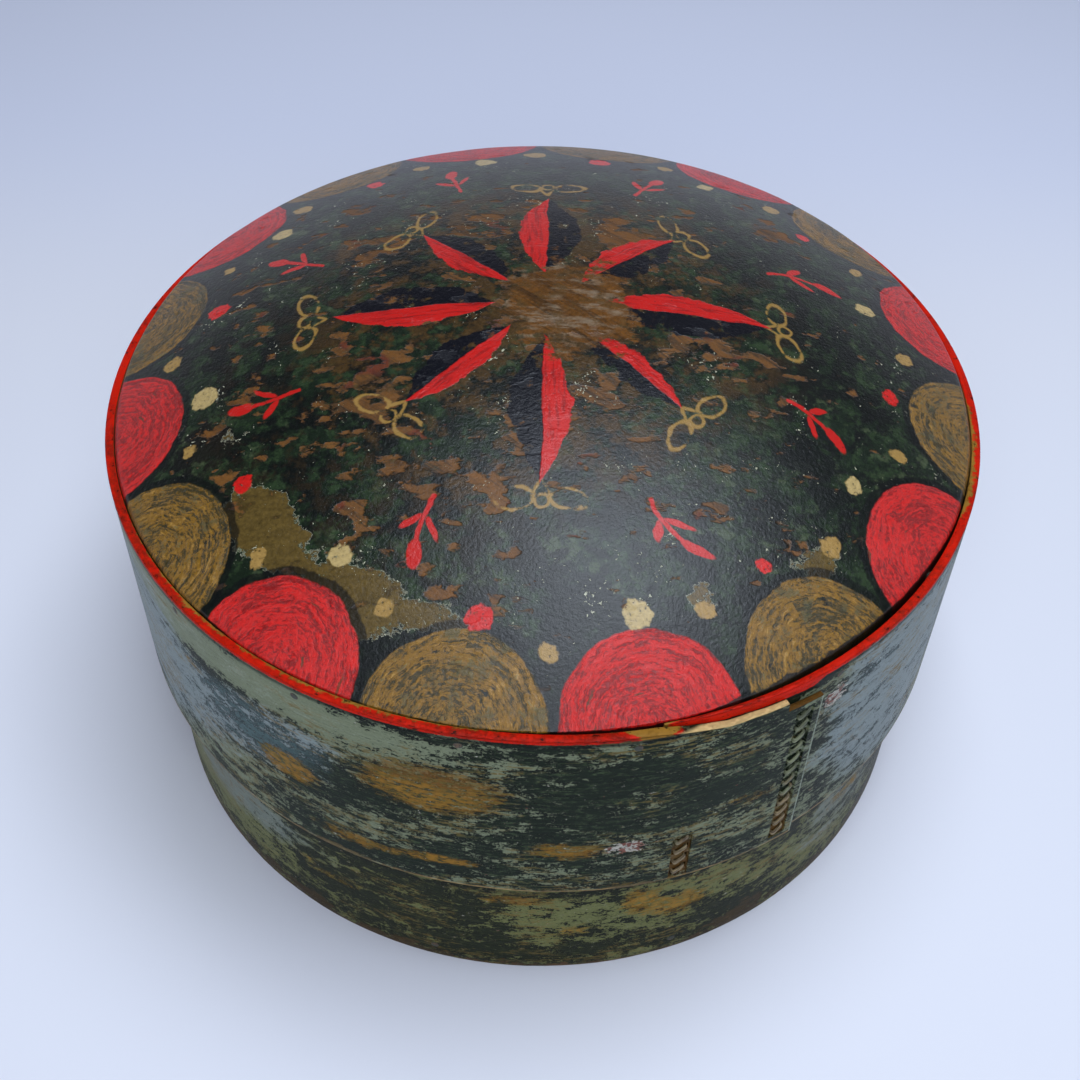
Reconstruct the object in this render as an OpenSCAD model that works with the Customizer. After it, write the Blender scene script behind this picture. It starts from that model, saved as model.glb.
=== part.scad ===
// Round bentwood box with a deep lift-off lid.
// Each band is one strip of wood bent round until its thinned ends overlap; split root sews the lap.
// Wooden pegs hold the bottom board in the box band and the domed board in the lid band.
// Sizes are in millimetres. The box stands on z = 0, its axis is Z and its front looks along -Y.

/* [Box] */
// Outside diameter of the box band
box_od = 291; // [240:1:340]
// Height of the box band
box_h = 134; // [115:1:170]
// Thickness of the box band
box_band_t = 3; // [2.6:0.1:4]
// Thickness of the bottom board
bottom_t = 10; // [8:0.5:14]
// Height of the bottom board above the lower edge of the box band
bottom_lift = 2; // [1:0.5:4]

/* [Lid] */
// Gap left between the box and whatever stands furthest into the lid
lid_clear = 0.5; // [0.4:0.1:1.2]
// Thickness of the lid band
lid_band_t = 3; // [2.6:0.1:4]
// Height of the lid band
lid_band_h = 83; // [60:1:100]
// Rise of the dome above the rim of the lid band
dome_rise = 37; // [24:1:50]
// Height of the dome's edge above that rim at either side
dome_lip = 2.5; // [2:0.5:5]
// Distance from the middle of the lid back to the crown, which raises the edge at the back
crown_back = 4.5; // [0:0.5:4.5]
// Inward lean of the raised edge, in degrees from upright
dome_lean = 25; // [10:1:40]
// Thickness of the dome board at its edge
dome_edge_t = 10; // [8:0.5:14]
// Thickness of the dome board at its crown
dome_crown_t = 14; // [10:0.5:18]
// Width of the flat ring under the dome board that rests on the box
dome_seat_w = 13; // [10:0.5:20]

/* [Lap joints] */
// Direction of the visible end of the lid band, in degrees round from +X
lid_seam_at = -56; // [-80:1:-20]
// Direction of the visible end of the box band, in degrees round from +X
box_seam_at = 120; // [90:1:150]
// Length over which the two ends of a band overlap
lap_len = 52; // [44:1:64]
// Length over which a band swells out to pass over its own inner end
lap_run = 50; // [36:1:70]
// Thickness left at the tip of the inner end
inner_tip_t = 0.8; // [0.6:0.1:1.2]
// Thickness of the lid band's inner ply below its outer end
lid_under_t = 2.4; // [1.8:0.1:2.6]
// Thickness left at the tip of the lid band's outer end
lid_outer_tip_t = 1.8; // [1.5:0.1:2.4]
// Thickness of the box band's inner ply below its outer end
box_under_t = 2; // [1.6:0.1:2.4]
// Thickness left at the tip of the box band's outer end
box_outer_tip_t = 1.3; // [1.2:0.1:1.8]
// Space between the two plies of a lap
ply_gap = 0.2; // [0.1:0.05:0.4]
// Drop from the lid's rim to the top edge of the outer ply
outer_ply_drop = 3.5; // [1:0.5:5]
// Length of the notch broken out of the outer ply's top corner
chip_len = 13; // [8:1:18]
// Depth of that notch below the outer ply's top edge
chip_drop = 4; // [1:0.5:4.5]

/* [Root lacing] */
// Width of the split root
root_w = 2.2; // [1.8:0.1:2.5]
// Thickness of the split root
root_t = 1; // [0.8:0.1:1.1]
// Height from one stitch to the next
stitch_pitch = 5.8; // [5.2:0.1:7.5]
// Distance across a row between its two lines of slits
stitch_span = 3.6; // [3:0.2:4.4]
// Drop of each stitch as it crosses the row on the outside
stitch_drop = 2.4; // [1:0.2:2.8]
// Depth of the channel that a row lies in
channel_d = 0.7; // [0.4:0.1:0.8]
// Distance from the outer end of a band to its sewn row
row_inset = 6; // [5:0.5:9]
// Distance from the inner end of a band to its tack
tack_inset = 9.5; // [7:0.5:14]
// Number of stitches in a tack
tack_stitches = 4; // [2:1:6]

/* [Pegs] */
// Diameter of the pegs
peg_d = 3.2; // [2.6:0.2:4]
// Length of the pegs
peg_len = 16; // [12:1:22]
// Length of a peg's pointed end
peg_point = 3; // [2:0.5:5]
// Number of pegs round the bottom board
bottom_peg_count = 11; // [6:1:14]
// Number of pegs round the dome board
lid_peg_count = 18; // [8:1:20]

/* [Hidden] */
$fn = 144;

// Colours
bare_wood = [0.62, 0.45, 0.27];
painted_wood = [0.20, 0.24, 0.20];
root_colour = [0.72, 0.60, 0.42];
peg_colour = [0.50, 0.36, 0.22];

// Fits: board in band, peg in bore, root in its slit, and root off the wood it lies on
board_fit = 0.2;
peg_fit = 0.05;
slit_fit = 0.3;
root_lift = 0.1;
// Wood kept between a slit and the nearest edge, board or bore
slit_margin = 2.5;
// Height kept between the lid's top slit and the dome board
dome_margin = 0.5;
// Width of a channel beyond its slits on either side
channel_edge = 0.5;
// Radius of a peg's blunt tip
peg_tip_r = 0.5;
// How far cutting shapes run past the faces they cut
over = 2;
// Angle by which a ply reaches into the plain band, so that the two are one piece
tongue_angle = 1;
// Step, too small to see, between a ply and the plain band where their outer faces meet
blend = 0.08;

// Radii and heights of the box
box_r = box_od / 2;
box_in_r = box_r - box_band_t;
bottom_top = bottom_lift + bottom_t;

// Radii and heights of the lid, which clears the box's lap and lacing and keeps its own lacing off the box
box_lap_r = box_in_r + box_under_t + ply_gap + box_outer_tip_t;
box_swell_r = box_r + inner_tip_t + ply_gap;
box_widest_r = max(box_lap_r, box_swell_r) - channel_d + root_lift + root_t;
lid_in_r = max(box_r + root_lift + root_t, box_swell_r, box_lap_r, box_widest_r) + lid_clear - root_lift;
lid_r = lid_in_r + lid_band_t;
rim_z = box_h + dome_edge_t;
lid_z = rim_z - lid_band_h;

// The dome board's outer and hollowed faces are parts of two spheres
dome_r = lid_in_r - board_fit;
cap_rise = dome_rise - dome_lip;
dome_ball_r = (dome_r * dome_r + cap_rise * cap_rise) / (2 * cap_rise);
hollow_r = dome_r - dome_seat_w;
hollow_rise = dome_edge_t + dome_rise - dome_crown_t;
hollow_ball_r = (hollow_r * hollow_r + hollow_rise * hollow_rise) / (2 * hollow_rise);

// Slits and channels
slit_w = root_t + 2 * slit_fit;
slit_h = root_w + 2 * slit_fit;
channel_w = stitch_span + slit_w + 2 * channel_edge;

// Angle, in degrees, of a length bent round a radius
function bent(length, r) = length / r * 180 / PI;

// Steps from one angle to another, both ends included
function steps(from, to, count) = [for (i = [0 : count]) from + (to - from) * i / count];

// A lap is described by [inner radius, band thickness, end angle, lap angle, run angle, under, outer tip]
lid_lap = [lid_in_r, lid_band_t, lid_seam_at, bent(lap_len, lid_r), bent(lap_run, lid_r),
           lid_under_t, lid_outer_tip_t];
box_lap = [box_in_r, box_band_t, box_seam_at, bent(lap_len, box_r), bent(lap_run, box_r),
           box_under_t, box_outer_tip_t];
function lap_in_r(lap) = lap[0];
function lap_t(lap) = lap[1];
function lap_end(lap) = lap[2];
function lap_start(lap) = lap[2] - lap[3];
function lap_angle(lap) = lap[3];
function run_angle(lap) = lap[4];
function under_t(lap) = lap[5];
function outer_tip_t(lap) = lap[6];

// Angles at which the outer ply leaves the plain band and the inner ply reaches its full thickness
function leaves_at(lap) = lap_start(lap) - run_angle(lap);
function full_at(lap) = lap_end(lap) + run_angle(lap);

// Radius, at an angle, of the inner ply's outer face, from its tip to where the band is full thickness
function inner_ply_r(lap, angle) = lap_in_r(lap) + lookup(angle, [
    [lap_start(lap), inner_tip_t],
    [lap_end(lap), under_t(lap)],
    [full_at(lap), lap_t(lap) - blend]]);

// Radius, at an angle, of the outer ply's inner face, from where it leaves the plain band to its tip
function outer_ply_in_r(lap, angle) = lap_in_r(lap) + lookup(angle, [
    [leaves_at(lap), 0],
    [lap_start(lap), inner_tip_t + ply_gap],
    [lap_end(lap), under_t(lap) + ply_gap]]);

// Radius, at an angle, of the outer ply's outer face
function outer_ply_r(lap, angle) = outer_ply_in_r(lap, angle) + lookup(angle, [
    [leaves_at(lap), lap_t(lap) + blend],
    [lap_start(lap), lap_t(lap)],
    [lap_end(lap), outer_tip_t(lap)]]);

function at(r, angle) = [r * cos(angle), r * sin(angle)];

// Outline of a bent piece: along its outer face, then back along its inner face
function ribbon(angles, outer, inner) = concat(
    [for (i = [0 : len(angles) - 1]) at(outer[i], angles[i])],
    [for (i = [len(angles) - 1 : -1 : 0]) at(inner[i], angles[i])]);

// Outline of the plain band as a disc, open over its lap
module plain_outline(lap) {
    open_angles = steps(leaves_at(lap) + tongue_angle, full_at(lap), 8);
    difference() {
        circle(r = lap_in_r(lap) + lap_t(lap));
        polygon(concat([[0, 0]], [for (a = open_angles) at(2 * lap_in_r(lap), a)]));
    }
}

// Outline of the inner ply and its run up to full thickness, ending in a tongue inside the plain band
module inner_ply_outline(lap) {
    bends = concat(steps(lap_start(lap), lap_end(lap), 8),
                   steps(lap_end(lap) + run_angle(lap) / 8, full_at(lap), 7));
    angles = concat(bends, [full_at(lap) + tongue_angle]);
    polygon(ribbon(angles,
                   concat([for (a = bends) inner_ply_r(lap, a)], [lap_in_r(lap) + lap_t(lap) / 2]),
                   [for (a = angles) lap_in_r(lap) - over]));
}

// Outline of the outer ply and its run, starting from a tongue inside the plain band
module outer_ply_outline(lap) {
    bends = concat(steps(leaves_at(lap) + run_angle(lap) / 8, lap_start(lap), 7),
                   steps(lap_start(lap) + lap_angle(lap) / 8, lap_end(lap), 7));
    bored_r = lap_in_r(lap) - over;
    polygon(ribbon(concat([leaves_at(lap) - tongue_angle, leaves_at(lap)], bends),
                   concat([lap_in_r(lap) + lap_t(lap) / 2, outer_ply_r(lap, leaves_at(lap))],
                          [for (a = bends) outer_ply_r(lap, a)]),
                   concat([bored_r, bored_r], [for (a = bends) outer_ply_in_r(lap, a)])));
}

// Space taken by the outer ply between two angles, down to the middle of the gap below it
module outer_ply_space(lap, from, to, h) {
    angles = steps(from, to, 8);
    linear_extrude(h)
        polygon(ribbon(angles,
                       [for (a = angles) outer_ply_r(lap, a) + over],
                       [for (a = angles) outer_ply_in_r(lap, a) - ply_gap / 2]));
}

// One strip bent into a hoop: the plain band and the two plies of its lap, bored true inside
module bent_band(lap, h) {
    linear_extrude(h)
        difference() {
            union() {
                plain_outline(lap);
                inner_ply_outline(lap);
                outer_ply_outline(lap);
            }
            circle(r = lap_in_r(lap));
        }
}

// Direction of the sewn row and of the tack of a lap
function row_at(lap) = lap_end(lap) - bent(row_inset, lap_in_r(lap));
function tack_at(lap) = lap_start(lap) + bent(tack_inset, lap_in_r(lap));

// Heights of the top stitch of each row, and how many stitches fit below it
lid_row_top = box_h - slit_h / 2 - dome_margin;
lid_row_low = lid_z + slit_margin + slit_h / 2 + stitch_drop;
lid_row_count = 1 + floor((lid_row_top - lid_row_low) / stitch_pitch);
box_row_top = box_h - slit_h / 2 - slit_margin;
box_row_low = bottom_top + slit_margin + slit_h / 2 + stitch_drop;
box_row_count = 1 + floor((box_row_top - box_row_low) / stitch_pitch);
tack_climb = (tack_stitches - 1) * stitch_pitch;
lid_tack_top = lid_row_low + tack_climb;
box_tack_top = box_row_low + tack_climb;

// Cuts for one row: a shallow channel in the outer face and two lines of slits right through both plies
module row_cuts(lap, angle, top, count) {
    face_r = outer_ply_r(lap, angle);
    low = top - (count - 1) * stitch_pitch - stitch_drop - slit_h / 2;
    rotate(angle) {
        translate([face_r - channel_d, -channel_w / 2, low])
            cube([channel_d + over, channel_w, top + slit_h / 2 - low]);
        for (i = [0 : count - 1])
            for (side = [0, 1])
                translate([lap_in_r(lap) - over,
                           (0.5 - side) * stitch_span - slit_w / 2,
                           top - i * stitch_pitch - side * stitch_drop - slit_h / 2])
                    cube([face_r - lap_in_r(lap) + 2 * over, slit_w, slit_h]);
    }
}

// Way of one root: out of a right-hand slit, across and down, in at the left, then inside to the next slit
function root_way(out_r, in_r, top, count) = [
    for (i = [0 : count - 1])
        let (z = top - i * stitch_pitch,
             right = stitch_span / 2,
             bend = root_t * 0.45)
        for (p = [[in_r, right - bend, z], [in_r + bend, right, z],
                  [out_r - bend, right, z], [out_r, right - bend, z],
                  [out_r, bend - right, z - stitch_drop], [out_r - bend, -right, z - stitch_drop],
                  [in_r + bend, -right, z - stitch_drop], [in_r, bend - right, z - stitch_drop]])
            p];

// Direction, across the row, in which a root's flat side faces at one point of its way
function root_side(way, i) =
    let (a = way[max(i - 1, 0)],
         b = way[min(i + 1, len(way) - 1)],
         d = [b[0] - a[0], b[1] - a[1]])
    [-d[1], d[0]] / norm(d);

// Six points round the root, flat and upright
function root_ring(way, i) =
    let (side = root_side(way, i))
    [for (k = [0 : 5])
        let (c = cos(60 * k) * root_t / 2,
             s = sin(60 * k) * root_w / 2 / sin(60))
        way[i] + [c * side[0], c * side[1], s]];

// Least gap between a root and itself, taken between stretches at least half a stitch apart
function gap(a, b) = norm([max(0, abs(a[0] - b[0]) - root_t),
                           max(0, abs(a[1] - b[1]) - root_t),
                           max(0, abs(a[2] - b[2]) - root_w)]);
function least_gap(way) = min([for (i = [0 : len(way) - 1])
                                  for (j = [i + 4 : 1 : len(way) - 1])
                                      gap(way[i], way[j])]);

// One unbroken root along its way
module root(way, name) {
    points = [for (i = [0 : len(way) - 1]) each root_ring(way, i)];
    last = len(way) - 1;
    sides = [for (i = [0 : last - 1])
                for (k = [0 : 5])
                    for (t = [0, 1])
                        t == 0 ? [6 * i + k, 6 * i + (k + 1) % 6, 6 * i + 6 + k]
                               : [6 * i + (k + 1) % 6, 6 * i + 6 + (k + 1) % 6, 6 * i + 6 + k]];
    caps = [[5, 4, 3, 2, 1, 0], [for (k = [0 : 5]) 6 * last + k]];
    echo(root = name, least_gap_mm = least_gap(way));
    polyhedron(points, concat(sides, caps));
}

// Root of one row, laid in its channel outside and on the inner ply inside
module row_root(lap, angle, top, count, name) {
    out_r = outer_ply_r(lap, angle) - channel_d + root_lift + root_t / 2;
    in_r = lap_in_r(lap) - root_lift - root_t / 2;
    rotate(angle)
        root(root_way(out_r, in_r, top, count), name);
}

// Pegs are spread over the plain part of a hoop, so none lands in its lap
peg_end_gap = 3;
function peg_angle(lap, count, i) =
    lap_end(lap) + peg_end_gap + i * (360 - lap_angle(lap) - 2 * peg_end_gap) / (count - 1);

// Outer face of a hoop where a peg goes in: the plain band, or the swell on either side of its lap
function hoop_r(lap, angle) =
    angle < full_at(lap) ? inner_ply_r(lap, angle) : outer_ply_r(lap, max(angle - 360, leaves_at(lap)));

// Round pegs with pointed inner ends, or the bores for them, along the radius at a height
module peg_ring(lap, count, z, extra_r, extra_len) {
    for (i = [0 : count - 1])
        let (a = peg_angle(lap, count, i),
             tip = hoop_r(lap, a) - peg_len - extra_r)
            rotate(a)
                translate([tip, 0, z])
                    rotate([0, 90, 0]) {
                        cylinder(r1 = peg_tip_r + extra_r, r2 = peg_d / 2 + extra_r, h = peg_point);
                        translate([0, 0, peg_point])
                            cylinder(r = peg_d / 2 + extra_r, h = peg_len - peg_point + extra_r + extra_len);
                    }
}

bottom_peg_z = bottom_lift + bottom_t / 2;
lid_peg_z = box_h + dome_edge_t / 2;
module bottom_bores() {
    peg_ring(box_lap, bottom_peg_count, bottom_peg_z, peg_fit, over);
}
module lid_bores() {
    peg_ring(lid_lap, lid_peg_count, lid_peg_z, peg_fit, over);
}

module box_bottom() {
    color(bare_wood)
        difference() {
            translate([0, 0, bottom_lift])
                cylinder(r = box_in_r - board_fit, h = bottom_t);
            bottom_bores();
        }
}

module box_band() {
    color(painted_wood)
        difference() {
            bent_band(box_lap, box_h);
            row_cuts(box_lap, row_at(box_lap), box_row_top, box_row_count);
            row_cuts(box_lap, tack_at(box_lap), box_tack_top, tack_stitches);
            bottom_bores();
        }
}

module box_seam_lacing() {
    color(root_colour)
        row_root(box_lap, row_at(box_lap), box_row_top, box_row_count, "box_seam_lacing");
}

module box_tack_lacing() {
    color(root_colour)
        row_root(box_lap, tack_at(box_lap), box_tack_top, tack_stitches, "box_tack_lacing");
}

module bottom_pegs() {
    color(peg_colour)
        peg_ring(box_lap, bottom_peg_count, bottom_peg_z, 0, 0);
}

module lid_dome() {
    lean_h = dome_rise + over;
    color(painted_wood)
        difference() {
            intersection() {
                translate([0, crown_back, rim_z + dome_rise - dome_ball_r])
                    sphere(r = dome_ball_r);
                union() {
                    translate([0, 0, box_h])
                        cylinder(r = dome_r, h = dome_edge_t);
                    translate([0, 0, rim_z])
                        cylinder(r1 = dome_r, r2 = dome_r - lean_h * tan(dome_lean), h = lean_h);
                }
            }
            translate([0, 0, box_h + hollow_rise - hollow_ball_r])
                sphere(r = hollow_ball_r);
            lid_bores();
        }
}

module lid_band() {
    ply_top = rim_z - outer_ply_drop;
    chip_at = lap_end(lid_lap) - bent(chip_len, lid_r);
    past_end = lap_end(lid_lap) + tongue_angle;
    color(painted_wood)
        difference() {
            translate([0, 0, lid_z])
                bent_band(lid_lap, lid_band_h);
            translate([0, 0, ply_top])
                outer_ply_space(lid_lap, lap_start(lid_lap), past_end, outer_ply_drop + over);
            translate([0, 0, ply_top - chip_drop])
                outer_ply_space(lid_lap, chip_at, past_end, chip_drop + over);
            row_cuts(lid_lap, row_at(lid_lap), lid_row_top, lid_row_count);
            row_cuts(lid_lap, tack_at(lid_lap), lid_tack_top, tack_stitches);
            lid_bores();
        }
}

module lid_seam_lacing() {
    color(root_colour)
        row_root(lid_lap, row_at(lid_lap), lid_row_top, lid_row_count, "lid_seam_lacing");
}

module lid_tack_lacing() {
    color(root_colour)
        row_root(lid_lap, tack_at(lid_lap), lid_tack_top, tack_stitches, "lid_tack_lacing");
}

module lid_pegs() {
    color(peg_colour)
        peg_ring(lid_lap, lid_peg_count, lid_peg_z, 0, 0);
}

box_bottom();
box_band();
box_seam_lacing();
box_tack_lacing();
bottom_pegs();
lid_dome();
lid_band();
lid_seam_lacing();
lid_tack_lacing();
lid_pegs();
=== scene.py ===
"""Looks of a round bentwood box with a deep lift-off lid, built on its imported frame.

Each painted, sewn and pegged piece is a numpy surface that takes the place of a node of the frame.
Lengths in the classes are in millimetres and become metres when a mesh is made. Angles are in
degrees, counted round from +X; the front of the box looks along -Y, at -90 degrees.
"""

import logging
from dataclasses import dataclass, field
from enum import Enum
from typing import Callable, Union

import bmesh
import bpy
import numpy as np
from mathutils import Matrix, Vector


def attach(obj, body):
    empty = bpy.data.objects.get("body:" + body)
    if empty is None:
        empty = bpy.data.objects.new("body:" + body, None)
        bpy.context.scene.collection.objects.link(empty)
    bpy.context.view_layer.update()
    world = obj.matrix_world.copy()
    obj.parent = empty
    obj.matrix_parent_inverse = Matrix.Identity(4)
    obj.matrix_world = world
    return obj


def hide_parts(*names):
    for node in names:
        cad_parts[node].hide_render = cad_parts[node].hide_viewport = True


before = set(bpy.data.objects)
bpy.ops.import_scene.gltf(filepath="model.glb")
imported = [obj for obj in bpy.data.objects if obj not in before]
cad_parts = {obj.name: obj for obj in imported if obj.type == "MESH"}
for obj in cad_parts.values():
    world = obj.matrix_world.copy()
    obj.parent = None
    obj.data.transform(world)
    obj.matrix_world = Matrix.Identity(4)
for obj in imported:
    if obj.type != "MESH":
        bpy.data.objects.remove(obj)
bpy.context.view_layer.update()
LOG = logging.getLogger("bentwood_box")
MM = 0.001
MERGE_WITHIN = 1e-6
Reach = Union[np.ndarray, float]
Colour = tuple[float, float, float, float]


def tint(red: int, green: int, blue: int) -> Colour:
    """Linear shader colour of a display colour.

    Args:
        red: Red channel, 0 to 255.
        green: Green channel, 0 to 255.
        blue: Blue channel, 0 to 255.

    Returns:
        The colour as four linear numbers.
    """
    shown = np.array([red, green, blue]) / 255.0
    linear = np.where(shown <= 0.04045, shown / 12.92, ((shown + 0.055) / 1.055) ** 2.4)
    return (*linear.tolist(), 1.0)


class Maths(Enum):
    """Operations of a Math node that the finishes use."""

    ADD = "ADD"
    SUBTRACT = "SUBTRACT"
    MULTIPLY = "MULTIPLY"
    DIVIDE = "DIVIDE"
    POWER = "POWER"
    MODULO = "FLOORED_MODULO"
    LEAST = "MINIMUM"
    MOST = "MAXIMUM"
    FLOOR = "FLOOR"
    SIZE = "ABSOLUTE"
    ROOT = "SQRT"
    SINE = "SINE"
    COSINE = "COSINE"
    TURN = "ARCTAN2"


def maths_method(operation: Maths, swapped: bool = False) -> Callable[..., "Field"]:
    """Makes a method that adds one Math node over a field and other values.

    Args:
        operation: What the node works out.
        swapped: Whether the field comes last, as when a number stands on its left.

    Returns:
        The method, for the Field class.
    """

    def method(self: "Field", *others: "Number") -> "Field":
        """Adds the node and gives its result."""
        values = (*others, self) if swapped else (self, *others)
        return self.graph.node("ShaderNodeMath", {"operation": operation.value}, dict(enumerate(values)))

    return method


class Field:
    """A value that varies over a surface: one node socket whose operators add Math nodes.

    Sine, cosine and turn work in radians; turn is the angle whose opposite side is the field and
    whose near side is the other value. A remainder is never negative.
    """

    __add__ = maths_method(Maths.ADD)
    __radd__ = maths_method(Maths.ADD, swapped=True)
    __sub__ = maths_method(Maths.SUBTRACT)
    __rsub__ = maths_method(Maths.SUBTRACT, swapped=True)
    __mul__ = maths_method(Maths.MULTIPLY)
    __rmul__ = maths_method(Maths.MULTIPLY, swapped=True)
    __truediv__ = maths_method(Maths.DIVIDE)
    __pow__ = maths_method(Maths.POWER)
    __mod__ = maths_method(Maths.MODULO)
    __abs__ = maths_method(Maths.SIZE)
    floor = maths_method(Maths.FLOOR)
    root = maths_method(Maths.ROOT)
    sine = maths_method(Maths.SINE)
    cosine = maths_method(Maths.COSINE)
    least = maths_method(Maths.LEAST)
    most = maths_method(Maths.MOST)
    turn = maths_method(Maths.TURN)

    def __init__(self, graph: "Graph", socket: bpy.types.NodeSocket) -> None:
        """Keeps the graph and the socket that gives the value."""
        self.graph = graph
        self.socket = socket

    def rise(self, low: float, high: float) -> "Field":
        """Smooth step from 0 at the low value to 1 at the high one."""
        return self.graph.node(
            "ShaderNodeMapRange",
            {"interpolation_type": "SMOOTHSTEP"},
            {"Value": self, "From Min": low, "From Max": high},
        )

    def near(self, middle: float, reach: float) -> "Field":
        """Smooth bump: 1 where the value is the middle one, 0 at the reach on either side."""
        return 1 - abs(self - middle).rise(0.0, reach)


Number = Union[Field, float, int]


def polar(x: Field, y: Field) -> tuple[Field, Field]:
    """Distance from the middle, and direction in degrees."""
    return (x * x + y * y).root(), y.turn(x) * (180 / np.pi)


class Graph:
    """Node tree of one material or sky, with the few kinds of node that the finishes use."""

    def __init__(self, owner: Union[bpy.types.Material, bpy.types.World]) -> None:
        """Empties the owner's node tree.

        Args:
            owner: The material or sky.
        """
        owner.use_nodes = True
        self.owner = owner
        self.tree = owner.node_tree
        self.tree.nodes.clear()

    @classmethod
    def finish(cls, name: str) -> "Graph":
        """Graph of a new material of this name."""
        return cls(bpy.data.materials.new(name))

    def node(
        self,
        kind: str,
        settings: dict[str, object] | None = None,
        inputs: dict[Union[str, int], object] | None = None,
        output: Union[str, int] = 0,
    ) -> Field:
        """Adds one node.

        Args:
            kind: The node's type.
            settings: Its own settings, set before its sockets.
            inputs: Values or fields for its sockets, by name or place.
            output: The socket to give back, by name or place.

        Returns:
            The chosen output as a field.
        """
        made = self.tree.nodes.new(kind)
        for name, value in (settings or {}).items():
            setattr(made, name, value)
        for key, value in (inputs or {}).items():
            if isinstance(value, Field):
                self.tree.links.new(value.socket, made.inputs[key])
            else:
                made.inputs[key].default_value = value
        return Field(self, made.outputs[output] if len(made.outputs) else None)

    def place(self) -> Field:
        """Object coordinates in millimetres."""
        where = self.node("ShaderNodeTexCoord", output="Object")
        return self.scale(where, (1000.0, 1000.0, 1000.0))

    def carried(self, name: str, output: str = "Fac") -> Field:
        """A value or vector that the mesh carries under this name."""
        return self.node("ShaderNodeAttribute", {"attribute_name": name}, output=output)

    def scale(self, vector: Field, by: tuple[float, float, float]) -> Field:
        """A vector with each of its parts multiplied."""
        return self.node("ShaderNodeVectorMath", {"operation": "MULTIPLY"}, {0: vector, 1: by})

    def long(self, vector: Field, share: float) -> Field:
        """A vector whose first part is a share of what it was, so that noise over it is drawn out."""
        return self.scale(vector, (share, 1.0, 1.0))

    def shift(self, vector: Field, by: Union[Field, tuple[float, float, float]]) -> Field:
        """A vector with another added."""
        return self.node("ShaderNodeVectorMath", {"operation": "ADD"}, {0: vector, 1: by})

    def parts(self, vector: Field) -> tuple[Field, Field, Field]:
        """The three parts of a vector."""
        outputs = self.node("ShaderNodeSeparateXYZ", inputs={0: vector}).socket.node.outputs
        return tuple(Field(self, outputs[axis]) for axis in range(3))

    def joined(self, x: Number, y: Number, z: Number) -> Field:
        """A vector from its three parts."""
        return self.node("ShaderNodeCombineXYZ", inputs={0: x, 1: y, 2: z})

    def noise(
        self, where: Field, size: float, detail: float = 3.0, rough: float = 0.55, bend: float = 0.0
    ) -> Field:
        """Cloudy noise whose features are about this size in millimetres, from 0 to 1."""
        sockets = {"Vector": where, "Scale": 1 / size, "Detail": detail, "Roughness": rough,
                   "Distortion": bend}
        return self.node("ShaderNodeTexNoise", inputs=sockets)

    def wander(self, where: Field, size: float, reach: float) -> Field:
        """A vector moved about by noise of this size, by up to the reach, as a hand wanders.

        Args:
            where: The vector.
            size: Size of the noise's features.
            reach: The furthest move.

        Returns:
            The moved vector.
        """
        sockets = {"Vector": where, "Scale": 1 / size, "Detail": 2.0}
        pull = self.node("ShaderNodeTexNoise", inputs=sockets, output="Color")
        middle = self.shift(pull, (-0.5, -0.5, -0.5))
        return self.shift(where, self.scale(middle, (2 * reach, 2 * reach, 2 * reach)))

    def chance(self, number: Field, seed: float) -> Field:
        """A fixed random number from 0 to 1 for each whole number."""
        return self.node("ShaderNodeTexWhiteNoise", {"noise_dimensions": "1D"}, {"W": number + seed})

    def specks(self, where: Field, spacing: float) -> Field:
        """Distance, in spacings, to the nearest of points scattered this far apart."""
        return self.node("ShaderNodeTexVoronoi", inputs={"Vector": where, "Scale": 1 / spacing})

    def over(self, mask: Number, upper: object, lower: object) -> Field:
        """Colour of an upper coat where its mask is 1 and of a lower one where it is 0."""
        return self.node("ShaderNodeMix", {"data_type": "RGBA"}, {0: mask, 6: lower, 7: upper}, 2)

    def shade(self, colour: object, amount: Field) -> Field:
        """A colour made lighter or darker by an amount about 1.

        Args:
            colour: The colour.
            amount: The amount.

        Returns:
            The shaded colour.
        """
        grey = self.joined(amount, amount, amount)
        settings = {"data_type": "RGBA", "blend_type": "MULTIPLY"}
        return self.node("ShaderNodeMix", settings, {0: 1.0, 6: colour, 7: grey}, 2)

    def surface(
        self, colour: Field, roughness: Number, height: Field, depth: float, gloss: float = 0.5
    ) -> bpy.types.Material:
        """Ends the tree in one glossy shader.

        Args:
            colour: Base colour.
            roughness: Roughness.
            height: Relief, from 0 to 1.
            depth: Depth of the relief in millimetres.
            gloss: Specular level.

        Returns:
            The finished material.
        """
        relief = self.node(
            "ShaderNodeBump", inputs={"Height": height, "Distance": depth * MM, "Strength": 1.0}
        )
        shader = self.node(
            "ShaderNodeBsdfPrincipled",
            inputs={"Base Color": colour, "Roughness": roughness, "Normal": relief,
                    "Specular IOR Level": gloss},
        )
        self.node("ShaderNodeOutputMaterial", inputs={"Surface": shader})
        return self.owner


class Coat:
    """The colour of a surface as it is built up, one coat over another."""

    def __init__(self, graph: Graph, upper: object, lower: object, mask: Field) -> None:
        """Starts with two colours, the upper one where the mask is 1."""
        self.graph = graph
        self.colour = graph.over(mask, upper, lower)

    def lay(self, mask: Number, paint: object, light: Union[Field, None] = None) -> None:
        """Lays a paint where the mask is 1, made lighter or darker by an amount about 1 if given.

        Args:
            mask: Where the paint lies.
            paint: Its colour.
            light: The amount, or None.
        """
        if light is not None:
            paint = self.graph.shade(paint, light)
        self.colour = self.graph.over(mask, paint, self.colour)

    def shade(self, amount: Field) -> None:
        """Makes all that is there lighter or darker by an amount about 1."""
        self.colour = self.graph.shade(self.colour, amount)


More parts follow.
